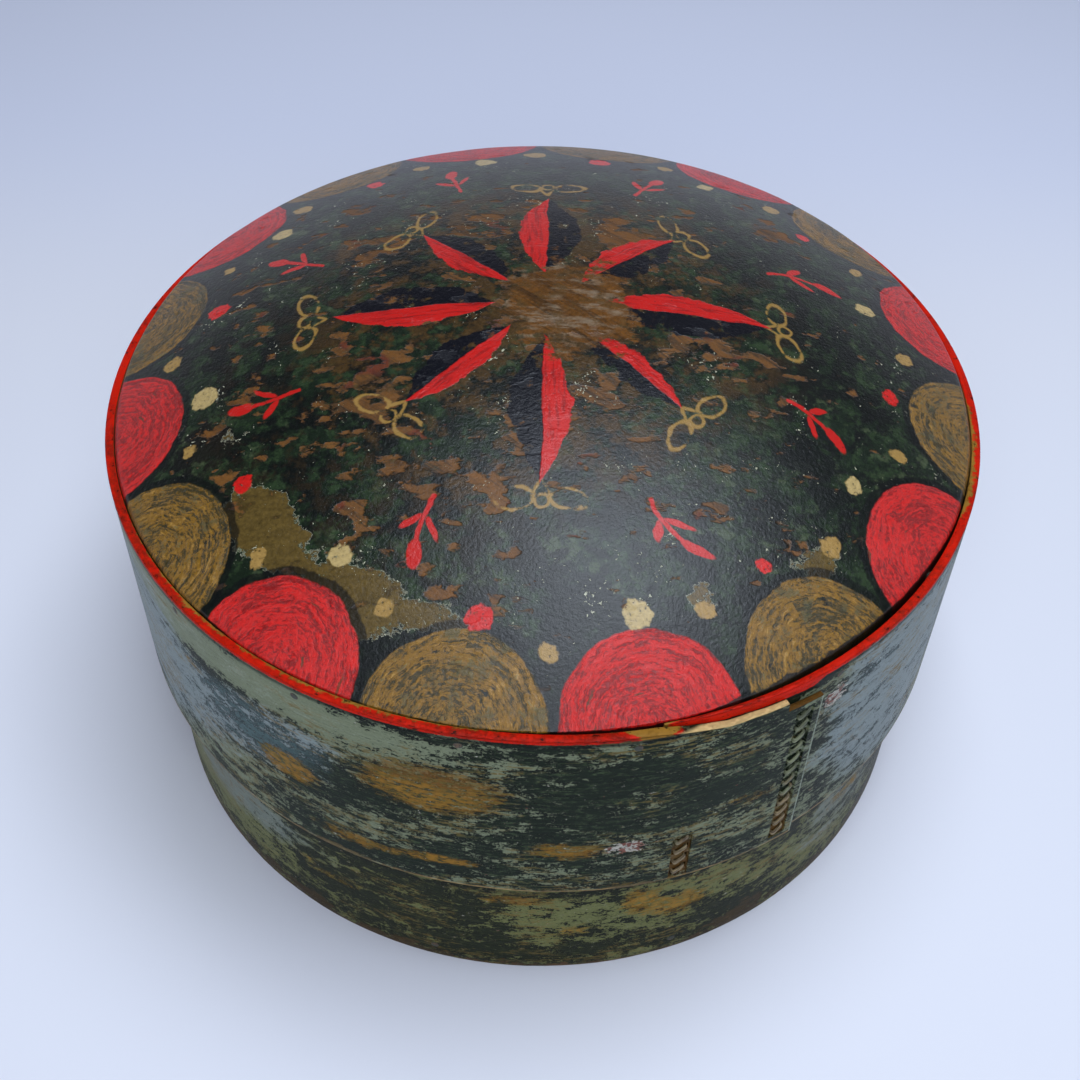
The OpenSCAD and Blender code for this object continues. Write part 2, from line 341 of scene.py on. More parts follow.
class Rays:
    """Sectors that repeat round the middle of the dome, each with its own along and across."""

    def __init__(self, graph: Graph, far: Field, angle: Field, count: int, first: float) -> None:
        """Folds a point's distance and angle into the nearest of equal sectors.

        Args:
            graph: The material's graph.
            far: Distance from the middle, in millimetres.
            angle: Direction from the middle, in degrees.
            count: How many sectors go round.
            first: Direction of the middle of the first one, in degrees.
        """
        step = 360.0 / count
        self.graph = graph
        self.number = ((angle - first) / step + 0.5).floor() % count
        turn = ((angle - first + step / 2) % step - step / 2) * (np.pi / 180)
        self.along = far * turn.cosine()
        self.across = far * turn.sine()

    def chance(self, seed: float) -> Field:
        """A fixed random number for each sector."""
        return self.graph.chance(self.number, seed)

    def from_point(self, along: Number, across: Number = 0.0) -> Field:
        """Distance from a point of the sector."""
        return ((self.along - along) ** 2 + (self.across - across) ** 2).root()

    def from_stroke(self, start: tuple[Number, float], reach: tuple[float, float], side: Field) -> Field:
        """Distance from a straight brush stroke.

        Args:
            start: Where the stroke starts, along and across the sector.
            reach: How far it goes along and across.
            side: The across value to use, plain or mirrored.

        Returns:
            Distance in millimetres.
        """
        along = self.along - start[0]
        across = side - start[1]
        length = reach[0] ** 2 + reach[1] ** 2
        share = ((along * reach[0] + across * reach[1]) / length).most(0.0).least(1.0)
        return ((along - share * reach[0]) ** 2 + (across - share * reach[1]) ** 2).root()


@dataclass
class DomeCanvas:
    """What the coats of the dome share: where a point lies, the noises, the wood and the colour so far."""

    graph: Graph
    place: Field
    x: Field
    y: Field
    far: Field
    angle: Field
    cloud: Field
    patchy: Field
    fine: Field
    streaky: Field
    wood: Field
    coat: Coat

    def rays(self, count: int, first: float) -> Rays:
        """Sectors round the middle, from the direction of the first one."""
        return Rays(self.graph, self.far, self.angle, count, first)


@dataclass(frozen=True)
class DomePaint:
    """Dome finish: an eight-petal flower, bows, sprigs and a border of half discs on dark green."""

    ground: Colour = tint(18, 29, 16)
    ground_light: Colour = tint(40, 55, 31)
    ground_deep: Colour = tint(6, 8, 7)
    ground_pale: Colour = tint(66, 76, 50)
    olive: Colour = tint(86, 68, 29)
    halo: Colour = tint(82, 58, 24)
    wood: Colour = tint(108, 67, 20)
    wood_dark: Colour = tint(56, 36, 13)
    wood_red: Colour = tint(96, 34, 14)
    scoured: Colour = tint(128, 110, 88)
    red: Colour = tint(190, 24, 18)
    red_deep: Colour = tint(138, 14, 12)
    navy: Colour = tint(3, 3, 12)
    ochre: Colour = tint(124, 88, 22)
    ochre_dark: Colour = tint(60, 50, 20)
    ochre_pale: Colour = tint(158, 122, 58)
    cream: Colour = tint(170, 146, 94)
    straw: Colour = tint(150, 118, 62)
    speck: Colour = tint(186, 184, 156)
    scraped: Colour = tint(58, 66, 46)
    rim_z: float = 144.0
    disc_ring: float = 150.0
    disc_radius: float = 27.5
    red_discs_at: float = 13.0
    ochre_discs_at: float = -9.5
    petal_root: float = 17.0
    petal_tip: float = 73.0
    petal_short: float = 12.0
    petal_width: float = 9.0
    bare_middle: float = 22.0
    bare_shift: float = 8.0

    def dress(self) -> bpy.types.Material:
        """Builds the material, coat over coat from the wood up.

        Returns:
            The material.
        """
        graph = Graph.finish("dome_paint")
        place = graph.place()
        drawn = graph.wander(place, 16.0, 1.6)
        x, y, height = graph.parts(graph.wander(drawn, 3.0, 0.5))
        far, angle = polar(x, y)
        fine = graph.noise(place, 1.3, 4.0, 0.68)
        cloud = graph.noise(place, 38.0, 4.0, 0.55)
        patchy = graph.noise(place, 7.0, 6.0, 0.66)
        streaky = graph.noise(graph.long(place, 0.3), 3.0, 5.0, 0.66)
        coat = self._ground(graph, place, cloud, patchy)
        wood = self._wood(graph, place)
        canvas = DomeCanvas(graph, place, x, y, far, angle, cloud, patchy, fine, streaky, wood, coat)
        self._losses(canvas)
        bare, flecked = self._smears(canvas)
        coat.shade(0.55 + fine * 0.9)
        disc_relief = self._discs(canvas)
        self._dabs(canvas)
        self._bows(canvas)
        self._sprigs(canvas)
        petals = self._petals(canvas)
        self._middle(canvas)
        self._pits_and_joint_shade(canvas, height)
        relief = fine * 0.5 + patchy * 0.3 + petals * 0.25 + disc_relief + flecked * 0.3 - bare * 0.3
        roughness = 0.2 + bare * 0.16 + fine * 0.14 + patchy * 0.08
        return graph.surface(coat.colour, roughness, relief, 0.4, 0.42)

    def _ground(self, graph: Graph, place: Field, cloud: Field, patchy: Field) -> Coat:
        """Dark green ground with paler smears, black flakes and small olive rubs.

        Args:
            graph: The material's graph.
            place: Object coordinates.
            cloud: Broad noise.
            patchy: Middling noise.

        Returns:
            The first coats.
        """
        smear = graph.noise(graph.wander(place, 5.0, 2.0), 4.5, 6.0, 0.7)
        coat = Coat(graph, self.ground_light, self.ground, smear.rise(0.46, 0.62))
        rubbed = graph.noise(graph.shift(place, (5.0, 83.0, 0.0)), 5.5, 5.0, 0.62)
        coat.lay((rubbed + (cloud - 0.5) * 0.4).rise(0.57, 0.66) * 0.7, self.ground_pale)
        blotch = graph.noise(place, 15.0, 7.0, 0.7)
        black = (blotch * 0.6 + patchy * 0.4).rise(0.46, 0.53)
        coat.lay(black * 0.92, self.ground_deep)
        return coat

    def _wood(self, graph: Graph, place: Field) -> Field:
        """Bare board: brown ochre with dark streaks along the grain.

        Args:
            graph: The material's graph.
            place: Object coordinates.

        Returns:
            The wood's colour.
        """
        along = graph.node(
            "ShaderNodeMapping", inputs={"Vector": place, "Rotation": (0.0, 0.0, np.radians(40))}
        )
        streaks = graph.noise(graph.long(along, 0.07), 2.6, 6.0, 0.66, 0.6)
        broad = graph.noise(graph.long(along, 0.2), 12.0, 3.0)
        colour = graph.over(streaks.rise(0.3, 0.58), self.wood, self.wood_dark)
        return graph.shade(colour, 0.6 + broad * 0.8)

    def _losses(self, on: DomeCanvas) -> None:
        """Brown rubs near the flower, and olive with a rough edge where the green has come off.

        Args:
            on: The canvas to draw on.
        """
        wear = on.graph.carried("wear")
        loss = on.graph.carried("loss")
        near_flower = (1 - on.far.rise(48.0, 92.0) + wear * 4).least(1.0)
        halo = near_flower * (on.patchy * 0.7 + on.cloud * 0.3).rise(0.46, 0.56)
        on.coat.lay(halo * 0.7, self.halo, 0.3 + on.fine * 1.2)
        lost = on.patchy * 0.8 + on.fine * 0.2 + loss
        olive = lost.rise(0.84, 0.865)
        rough_edge = lost.near(0.83, 0.016)
        on.coat.lay(olive, self.olive, 0.2 + on.fine * 0.8 + on.streaky * 0.8)
        on.coat.lay(rough_edge * loss.rise(0.1, 0.2) * 0.5, self.speck)

    def _smears(self, on: DomeCanvas) -> tuple[Field, Field]:
        """Bare wood in ragged smears, some of it red, and clusters of pale flecks.

        Args:
            on: The canvas to draw on.

        Returns:
            How bare the wood is, and how flecked.
        """
        graph = on.graph
        wear = graph.carried("wear")
        blobs = graph.noise(graph.wander(graph.long(on.place, 0.6), 7.0, 2.0), 6.0, 4.0, 0.5)
        unrest = (on.cloud - 0.5) * 0.25 + (on.streaky - 0.5) * 0.3 + (on.fine - 0.5) * 0.12
        density = blobs + unrest + wear
        smear = density.rise(0.63, 0.7)
        bare = smear * (0.5 + on.streaky.rise(0.36, 0.5) * 0.5)
        on.coat.lay((density.rise(0.59, 0.64) - smear) * 0.5, self.ground_deep)
        hue = graph.noise(graph.shift(on.place, (11.0, 47.0, 0.0)), 15.0, 2.0)
        worn = graph.over(hue.rise(0.62, 0.68) * 0.8, self.wood_red, on.wood)
        on.coat.lay(bare * 0.92, worn)
        cluster = graph.noise(graph.shift(on.place, (70.0, 20.0, 0.0)), 13.0, 4.0, 0.6)
        flecks = graph.noise(graph.wander(on.place, 3.0, 1.6), 1.1, 2.0, 0.6)
        flecked = (flecks + (cluster - 0.5) * 0.7).rise(0.745, 0.765)
        on.coat.lay(flecked * 0.85, self.speck, 0.5 + on.fine)
        return bare, flecked

    def _middle(self, on: DomeCanvas) -> None:
        """The scoured middle of the flower.

        Args:
            on: The canvas to draw on.
        """
        graph = on.graph
        ragged = (on.patchy - 0.5) * 46 + (on.streaky - 0.5) * 30
        from_bare = ((on.x - self.bare_shift) ** 2 + on.y * on.y).root()
        middle = 1 - (from_bare - self.bare_middle + ragged).rise(-3.0, 3.0)
        dull = graph.shade(on.wood, 0.4 + on.fine * 0.8)
        grey = graph.over(on.streaky.rise(0.46, 0.66) * 0.8, self.scoured, dull)
        grey = graph.over(on.patchy.rise(0.5, 0.6) * 0.6, self.halo, grey)
        on.coat.lay(middle, grey, 0.6 + on.fine * 0.8)

    def _pits_and_joint_shade(self, on: DomeCanvas, height: Field) -> None:
        """Dark pits all over, and painted shade: a dark line where the board meets the band, deeper where
        the gloom patches lie.

        Args:
            on: The canvas to draw on.
            height: Height above the floor.
        """
        gloom = on.graph.carried("gloom")
        pits = on.graph.specks(on.place, 3.1)
        on.coat.lay((1 - pits.rise(0.06, 0.13)) * 0.5, self.ground_deep)
        # Painted shade along the joint of board and band, standing for the shade in the gap between them.
        joint = 1 - (height - self.rim_z - gloom * 3.6 + (on.patchy - 0.5) * 0.8).rise(-0.5, -0.15)
        on.coat.lay(joint * 0.93, self.ground_deep)

    def _discs(self, on: DomeCanvas) -> Field:
        """Half discs at the rim, red and ochre in turn, each brushed round its own middle, with painted
        light and shade along the strokes.

        Args:
            on: The canvas to draw on.

        Returns:
            Relief of the brush strokes.
        """
        graph = on.graph
        patchy = on.patchy
        fine = on.fine
        coat = on.coat
        relief: Number = 0.0
        for first, paint, shadow, lit, cover, scuff in (
            (self.ochre_discs_at, self.ochre, self.ochre_dark, self.ochre_pale, 0.36, 0.06),
            (self.red_discs_at, self.red, self.red_deep, self.red, 0.22, -0.02),
        ):
            rays = on.rays(8, first)
            size = self.disc_radius - 1.5 + rays.chance(4.0) * 3
            reach = rays.from_point(self.disc_ring)
            bearing = rays.across.turn(rays.along - self.disc_ring)
            ring = graph.joined(reach + patchy * 4, bearing * 3.4, rays.number * 31)
            brush = graph.noise(graph.wander(ring, 5.0, 0.9), 0.9, 5.0, 0.7, 0.5)
            sweep = graph.noise(ring, 7.0, 4.0)
            inside = (size - reach).rise(-0.35, 0.35)
            outline = (size + 1.2 + patchy * 3 - reach).rise(-0.4, 0.4)
            coat.lay(outline * 0.8, self.ground_deep)
            # Lit and shaded copies of each paint, laid along the brush strokes: painted light and shade,
            # the pale strokes painted highlights.
            lit_part = (brush * 0.6 + sweep * 0.25 + fine * 0.25).rise(0.49, 0.58)
            disc = Coat(graph, paint, shadow, lit_part)
            lit_strokes = (brush * 0.7 + fine * 0.3).rise(0.56, 0.6) * sweep.rise(0.4, 0.56)
            disc.lay(lit_strokes * 0.7, lit)
            scraped = (patchy * 0.5 + brush * 0.3 + fine * 0.2 + scuff).rise(0.59, 0.63)
            disc.lay(scraped * 0.65, self.scraped)
            disc.shade(0.15 + fine * 0.85 + brush * 0.85)
            chips = graph.specks(graph.shift(ring, (0.0, 0.0, 7.0)), 5.2)
            chipped = (1 - chips.rise(0.07, 0.12)) * 0.7
            disc.lay(chipped, self.ochre_dark)
            whole = inside * (patchy * 0.6 + brush * 0.4).rise(cover, cover + 0.06)
            coat.lay(whole, disc.colour)
            relief = relief + inside * (brush - 0.5) * 0.9
        return relief

    def _dabs(self, on: DomeCanvas) -> None:
        """Cream, straw and red dabs of the brush above and between the half discs.

        Args:
            on: The canvas to draw on.
        """
        graph = on.graph
        loose = graph.wander(graph.wander(on.place, 9.0, 2.2), 2.0, 1.1)
        x, y, _ = graph.parts(loose)
        far, angle = polar(x, y)
        grit = graph.noise(on.place, 1.3, 3.0)
        for first, count, ring, size, paint in (
            (self.red_discs_at, 8, 115.5, 4.2, self.cream),
            (1.75, 16, 124.0, 3.6, self.straw),
            (self.ochre_discs_at, 8, 116.5, 3.9, self.red),
        ):
            rays = Rays(graph, far, angle, count, first)
            drift = (rays.chance(7.0) - 0.5) * 6
            slip = (rays.chance(9.0) - 0.5) * 5
            reach = rays.from_point(ring + drift, slip)
            dab = (size - 1.4 + rays.chance(11.0) * 1.8 - reach).rise(-0.4, 0.4)
            on.coat.lay(dab * grit.rise(0.25, 0.42), paint, 0.5 + grit)

    def _bows(self, on: DomeCanvas) -> None:
        """Ochre bows beyond the petal tips: two flat loops, a knot and the tails that join at the tip.

        Args:
            on: The canvas to draw on.
        """
        patchy = on.patchy
        rays = on.rays(8, 0.0)
        lean = (rays.chance(3.0) - 0.5) * 0.5
        side = abs(rays.across)
        tip = self.petal_tip - rays.number % 2 * self.petal_short + 1
        along = rays.along + rays.across * lean
        bent = along - side * 0.12
        loops = abs(((bent - tip - 5.0) ** 2 + ((side - 8.2) * 0.62) ** 2).root() - 3.5)
        knot = abs(((along - tip - 6.6) ** 2 + rays.across**2).root() - 2.3)
        tails = rays.from_stroke((tip - 0.5, 0.0), (5.4, 3.2), side)
        line = loops.least(knot).least(tails)
        drawn = (0.5 - line + (patchy - 0.5) * 1.8).rise(-0.35, 0.35) * patchy.rise(0.38, 0.48)
        on.coat.lay(drawn * 0.8, self.ochre_pale)

    def _sprigs(self, on: DomeCanvas) -> None:
        """Red sprigs between the bows: a bent stem with a pair of leaves and a bud.

        Args:
            on: The canvas to draw on.
        """
        patchy = on.patchy
        rays = on.rays(8, 22.5)
        sway = (rays.chance(6.0) - 0.5) * 0.06
        across = rays.across + (rays.along - 86) ** 2 * sway
        side = abs(across)
        stem = rays.from_stroke((85.0, 0.0), (16.0, 0.0), across) + 0.35
        leaf = ((rays.along - 92 - side * 0.9) ** 2 + (side - 3.6) ** 2 * 0.3).root() - 0.5
        bud = ((rays.along - 104) ** 2 * 0.3 + across**2).root() - 1.2
        line = stem.least(leaf).least(bud)
        drawn = (1.1 - line + (patchy - 0.5) * 1.2).rise(-0.3, 0.3) * patchy.rise(0.26, 0.36)
        on.coat.lay(drawn * 0.92, self.red)

    def _petals(self, on: DomeCanvas) -> Field:
        """Pointed petals, red on one side of their spine and navy on the other.

        Args:
            on: The canvas to draw on.

        Returns:
            Relief of the red halves.
        """
        graph = on.graph
        rays = on.rays(8, 0.0)
        short = rays.number % 2
        tip = self.petal_tip - short * self.petal_short + (rays.chance(2.0) - 0.5) * 6
        tip = tip - rays.number.near(4.0, 0.5) * 5
        width = self.petal_width - short * 2.5 + (rays.chance(5.0) - 0.5) * 3
        share = (rays.along - self.petal_root) / (tip - self.petal_root)
        worn = graph.noise(on.place, 5.0, 6.0, 0.65)
        edge = (width + (worn - 0.5) * 6) * 4 * share * (1 - share)
        streaks = graph.noise(graph.joined(rays.along * 0.12, rays.across, rays.number * 17), 1.2, 4.0)
        red = (edge - rays.across).least(rays.across + 0.3).rise(-0.3, 0.3)
        navy = (edge * 1.25 + rays.across).least(0.3 - rays.across).rise(-0.3, 0.3)
        on.coat.lay(navy * worn.rise(0.36, 0.44), self.navy)
        petal = graph.over(streaks.rise(0.3, 0.55), self.red, self.red_deep)
        whole = red * (worn * 0.5 + streaks * 0.5).rise(0.27, 0.34)
        on.coat.lay(whole, petal)
        return whole * streaks


@dataclass
class StripCanvas:
    """What the coats of a band share: where a point lies, the noises and the colour so far."""

    graph: Graph
    strip: Field
    height: Field
    brushed: Field
    flakes: Field
    chips: Field
    broad: Field
    fine: Field
    coat: Coat


@dataclass(frozen=True)
class BandPaint:
    """Band finish: ragged flakes of sage over blackish green and bare wood, brushed along the strip."""

    name: str
    rim_z: float
    foot_z: float
    worn_and_lit_foot: float
    dark: Colour = tint(20, 30, 18)
    green: Colour = tint(64, 78, 52)
    black: Colour = tint(7, 9, 8)
    sage: Colour = tint(116, 124, 98)
    sage_pale: Colour = tint(150, 159, 142)
    slate: Colour = tint(78, 101, 102)
    slate_and_sheen: Colour = tint(127, 139, 141)
    ochre: Colour = tint(156, 112, 42)
    olive: Colour = tint(98, 88, 40)
    russet: Colour = tint(122, 84, 36)
    wood: Colour = tint(150, 112, 68)
    wood_dark: Colour = tint(84, 58, 34)
    pale_wood: Colour = tint(214, 180, 122)
    red: Colour = tint(204, 30, 10)
    rust: Colour = tint(128, 30, 14)
    chalk: Colour = tint(196, 190, 178)
    foot_wood_and_glint: Colour = tint(104, 70, 36)
    rim_depth: float = 1.3
    ply_depth: float = 2.4
    red_rim: bool = True
    covered_from: float = 1000.0
    # Height of the painted shadow line under the lid's foot; far below the strip where there is none.
    lid_shadow_z: float = -100.0

    def dress(self) -> bpy.types.Material:
        """Builds the material, coat over coat from the wood up.

        Returns:
            The material.
        """
        graph = Graph.finish(self.name)
        strip = graph.carried("strip", "Vector")
        _, height, _ = graph.parts(strip)
        inside = 1 - graph.carried("outside").rise(0.35, 0.65)
        long = graph.long(strip, 0.5)
        brushed = graph.noise(graph.long(strip, 0.05), 1.1, 5.0, 0.68)
        flakes = graph.noise(long, 4.2, 9.0, 0.76)
        chips = graph.noise(graph.shift(long, (31.0, 57.0, 0.0)), 1.5, 6.0, 0.66)
        broad = graph.noise(long, 19.0, 4.0, 0.55)
        fine = graph.noise(strip, 0.9, 4.0, 0.7)
        wood = self._wood(graph, strip)
        streaks = broad * 0.2 + brushed * 0.4 + chips * 0.4
        coat = Coat(graph, self.green, self.dark, streaks.rise(0.49, 0.56))
        canvas = StripCanvas(graph, strip, height, brushed, flakes, chips, broad, fine, coat)
        sage, black = self._flakes(canvas)
        coat.shade(0.2 + brushed * 1.0 + fine * 0.6)
        bare = self._bare(canvas)
        self._foot(canvas)
        self._marks(canvas)
        covered = (height - self.covered_from + (flakes - 0.5) * 9).rise(-1.2, 1.2)
        coat.lay(covered * (0.95 - sage * 0.25), wood, 0.5 + chips * 0.6)
        self._edges(canvas)
        coat.lay(inside, wood)
        self._lap(canvas)
        relief = fine * 0.25 + brushed * 0.25 + sage * 0.4 - bare * 0.3 - black * 0.25
        roughness = 0.34 + bare * 0.2 + fine * 0.12
        return graph.surface(coat.colour, roughness, relief, 0.25, 0.06)

    def _flakes(self, on: StripCanvas) -> tuple[Field, Field]:
        """Slate and ragged flakes of sage, with black edges and cracks; over the slate the flakes are pale
        blue-grey, partly painted sheen.

        Args:
            on: The canvas to draw on.

        Returns:
            Where the sage is, and where the black is.
        """
        graph = on.graph
        sage_at = graph.carried("sage")
        slate = (graph.carried("slate") + (on.broad - 0.5) * 0.8 + (on.flakes - 0.5) * 0.8).rise(0.34, 0.6)
        on.coat.lay(slate * 0.8, self.slate)
        cover = on.flakes * 0.55 + on.chips * 0.2 + on.fine * 0.25 + (on.broad - 0.5) * 0.26 + sage_at
        sage = cover.rise(0.524, 0.53)
        cracks = (on.brushed * 0.5 + on.chips * 0.2 + on.fine * 0.3 - sage_at * 0.1).rise(0.54, 0.56)
        black = (cover.rise(0.496, 0.502) - sage).most(cracks * 0.85)
        on.coat.lay(black * 0.9, self.black)
        # Pale blue-grey flakes over the slate: partly blue-grey paint and partly painted sheen of the pale
        # surroundings.
        flaked = graph.over(slate * 0.85, self.slate_and_sheen, self.sage)
        flaked = graph.over((cover - sage_at * 0.3).rise(0.58, 0.72) * 0.5, self.sage_pale, flaked)
        on.coat.lay(sage * (0.92 - cracks * 0.5), flaked)
        return sage, black

    def _bare(self, on: StripCanvas) -> Field:
        """Ochre and russet where the paint is worn through, and small scuffs.

        Args:
            on: The canvas to draw on.

        Returns:
            How bare the strip is.
        """
        graph = on.graph
        streaked = (on.flakes - 0.5) * 1.6 + (on.brushed - 0.5) * 0.8 + (on.chips - 0.5) * 0.8
        worn = graph.carried("bare") * 0.8 + streaked
        bare = worn.rise(0.34, 0.56) * (1 - on.chips.rise(0.54, 0.58) * 0.75)
        ochre = graph.over(on.broad.rise(0.48, 0.62), self.russet, self.ochre)
        ochre = graph.over((on.chips * 0.5 + on.brushed * 0.5).rise(0.46, 0.54) * 0.7, self.olive, ochre)
        ochre = graph.shade(ochre, 0.35 + on.brushed * 0.75 + on.fine * 0.55)
        on.coat.lay(bare * 0.8, ochre)
        scuffs = (on.chips * 0.5 + on.brushed * 0.5).rise(0.5, 0.56) * on.broad.rise(0.5, 0.58)
        on.coat.lay(scuffs * 0.65, ochre)
        return bare

    def _foot(self, on: StripCanvas) -> None:
        """The rubbed foot, which on the lid is a thin pale line, partly painted highlight, and a line of
        painted shadow above it, under the lid's foot.

        Args:
            on: The canvas to draw on.
        """
        above_foot = on.height - self.foot_z
        eaten = (above_foot / self.worn_and_lit_foot + (on.broad - 0.5) * 6 + (on.flakes - 0.5) * 4).rise(0.2, 0.5)
        rubbed = 1 - eaten * (above_foot + (on.chips - 0.5) * 2).rise(0.7, 1.4)
        rubbed = rubbed * (0.25 + on.broad.rise(0.44, 0.56) * 0.45)
        # On the lid the foot colour is pale: a thin line along its lower edge, partly worn wood and partly
        # painted highlight.
        on.coat.lay(rubbed, self.foot_wood_and_glint, 0.3 + on.chips * 1.4)
        # Painted shadow: a dark line on the box under the overhanging foot of the lid.
        lid_shadow = (above_foot - self.lid_shadow_z + (on.chips - 0.5) * 2).near(0.0, 2.4)
        on.coat.lay(lid_shadow * 0.4, self.black)

    def _marks(self, on: StripCanvas) -> None:
        """Small chalky dabs with rust in them.

        Args:
            on: The canvas to draw on.
        """
        graph = on.graph
        marked = (graph.carried("marks") + (on.chips - 0.5) * 3 + (on.fine - 0.5) * 2).rise(0.6, 0.68)
        inked = graph.noise(on.strip, 2.6, 2.0).rise(0.5, 0.54)
        dabbed = graph.over(inked * 0.85, self.rust, self.chalk)
        on.coat.lay(marked * 0.8, dabbed, 0.4 + on.fine)

    def _lap(self, on: StripCanvas) -> None:
        """Sewn channel and slits, with the slits painted black as painted shade, a painted highlight along
        the end of the strip, and the broken top of its outer ply.

        Args:
            on: The canvas to draw on.
        """
        graph = on.graph
        brushed = on.brushed
        low = 1 - ((on.height - self.foot_z) / 40 + (on.chips - 0.5)).rise(0.35, 0.75)
        brown = graph.shade(self.russet, 0.3 + brushed * 0.5)
        on.coat.lay(graph.carried("channel") * low * 0.85, brown)
        # Painted shade: the slits are laid near black, as the holes are dark inside.
        on.coat.lay(graph.carried("slits"), self.black, 0.6 + brushed * 0.5)
        # Painted highlight: a pale line along the end edge of the outer ply.
        end = graph.carried("end_edge").rise(0.4, 0.6) * (0.5 + on.chips.rise(0.4, 0.5) * 0.5)
        on.coat.lay(end * 0.8, self.sage_pale, 0.7 + brushed * 0.6)
        notch = graph.carried("notch").rise(0.3, 0.7)
        on.coat.lay(notch, self.russet, 0.3 + brushed * 0.6)
        broken = graph.carried("broken").rise(0.3, 0.7)
        on.coat.lay(broken, self.pale_wood, 0.55 + brushed * 0.75)

    def _wood(self, graph: Graph, strip: Field) -> Field:
        """Unpainted inside: aged wood with its grain along the strip.

        Args:
            graph: The material's graph.
            strip: Place along the strip, height and depth.

        Returns:
            The wood's colour.
        """
        grain = graph.noise(graph.long(strip, 0.03), 1.8, 6.0, 0.66, 0.3)
        cloud = graph.noise(graph.long(strip, 0.3), 30.0, 3.0)
        colour = graph.over(grain.rise(0.34, 0.66), self.wood, self.wood_dark)
        return graph.shade(colour, 0.6 + cloud * 0.75)

    def _edges(self, on: StripCanvas) -> None:
        """Red line round the rim, worn to ochre towards the inside, with a dark line below it.

        Args:
            on: The canvas to draw on.
        """
        graph = on.graph
        chips = on.chips
        if not self.red_rim:
            return
        below = self.rim_z - on.height + (chips - 0.5) * 1.3
        reach = self.rim_depth + graph.carried("ply_red") * self.ply_depth
        shadow = (below - reach).near(0.9, 1.6) * 0.75
        on.coat.lay(shadow, self.black)
        line = (reach - below).rise(-0.2, 0.2)
        across = graph.carried("across")
        worn = (across * 0.26 + chips * 0.35 + on.broad * 0.35 + graph.carried("rim_wear")).rise(0.6, 0.66)
        rim = Coat(graph, self.rust, self.red, (on.broad * 0.5 + chips * 0.5).rise(0.47, 0.58) * 0.75)
        rim.lay(worn, self.ochre, 0.7 + chips * 0.5)
        rim.shade(0.6 + on.brushed * 0.6)
        rim.lay(chips.rise(0.6, 0.64) * 0.85, self.black)
        on.coat.lay(line, rim.colour)


@dataclass(frozen=True)
class BareWood:
    """Unpainted board: brown wood with its grain along X."""

    name: str
    light: Colour = tint(146, 108, 66)
    dark: Colour = tint(88, 60, 36)

    def dress(self) -> bpy.types.Material:
        """Builds the material from streaks stretched along the grain and broad stains.

        Returns:
            The material.
        """
        graph = Graph.finish(self.name)
        place = graph.place()
        long = graph.long(place, 0.03)
        grain = graph.noise(graph.wander(long, 30.0, 6.0), 2.2, 6.0, 0.66)
        stain = graph.noise(place, 55.0, 4.0)
        fine = graph.noise(place, 0.9, 2.0)
        colour = graph.over(grain.rise(0.34, 0.66), self.light, self.dark)
        colour = graph.shade(colour, 0.55 + stain * 0.85)
        return graph.surface(colour, 0.55 + fine * 0.2, grain * 0.7 + fine * 0.3, 0.2)


@dataclass(frozen=True)
class SplitRoot:
    """Split root: tan strands with fibres along their length, darkened by handling."""

    light: Colour = tint(140, 122, 86)
    dark: Colour = tint(66, 52, 32)
    paint: Colour = tint(112, 118, 88)
    paint_dark: Colour = tint(64, 70, 50)
    bare_below: float = 88.0

    def dress(self) -> bpy.types.Material:
        """Builds the material from fibres along the root, under old paint in its upper part.

        Returns:
            The material.
        """
        graph = Graph.finish("split_root")
        root = graph.carried("root", "Vector")
        place = graph.place()
        _, _, height = graph.parts(place)
        fibre = graph.noise(graph.long(root, 0.12), 0.5, 4.0)
        patch = graph.noise(place, 4.0, 4.0)
        colour = graph.over(fibre.rise(0.35, 0.65), self.light, self.dark)
        painted = ((height - self.bare_below) / 20 + (patch - 0.5) * 3).rise(-0.4, 0.5)
        coat = graph.over((fibre * 0.5 + patch * 0.5).rise(0.42, 0.58), self.paint, self.paint_dark)
        colour = graph.over(painted * 0.95, coat, colour)
        return graph.surface(colour, 0.5 + fibre * 0.2, fibre, 0.15)


@dataclass(frozen=True)
class PegWood:
    """Peg ends: end grain under the remains of the band's paint."""

    name: str
    paint: Colour = tint(42, 46, 34)
    wood: Colour = tint(96, 72, 44)
    dark: Colour = tint(26, 20, 15)

    def dress(self) -> bpy.types.Material:
        """Builds the material from end-grain pores and patches of paint.

        Returns:
            The material.
        """
        graph = Graph.finish(self.name)
        place = graph.place()
        pores = graph.noise(place, 0.45, 3.0)
        patch = graph.noise(place, 3.0, 4.0)
        colour = graph.over(pores.rise(0.38, 0.62), self.wood, self.dark)
        colour = graph.over(patch.rise(0.45, 0.55), self.paint, colour)
        return graph.surface(colour, 0.5 + pores * 0.2, pores, 0.15)


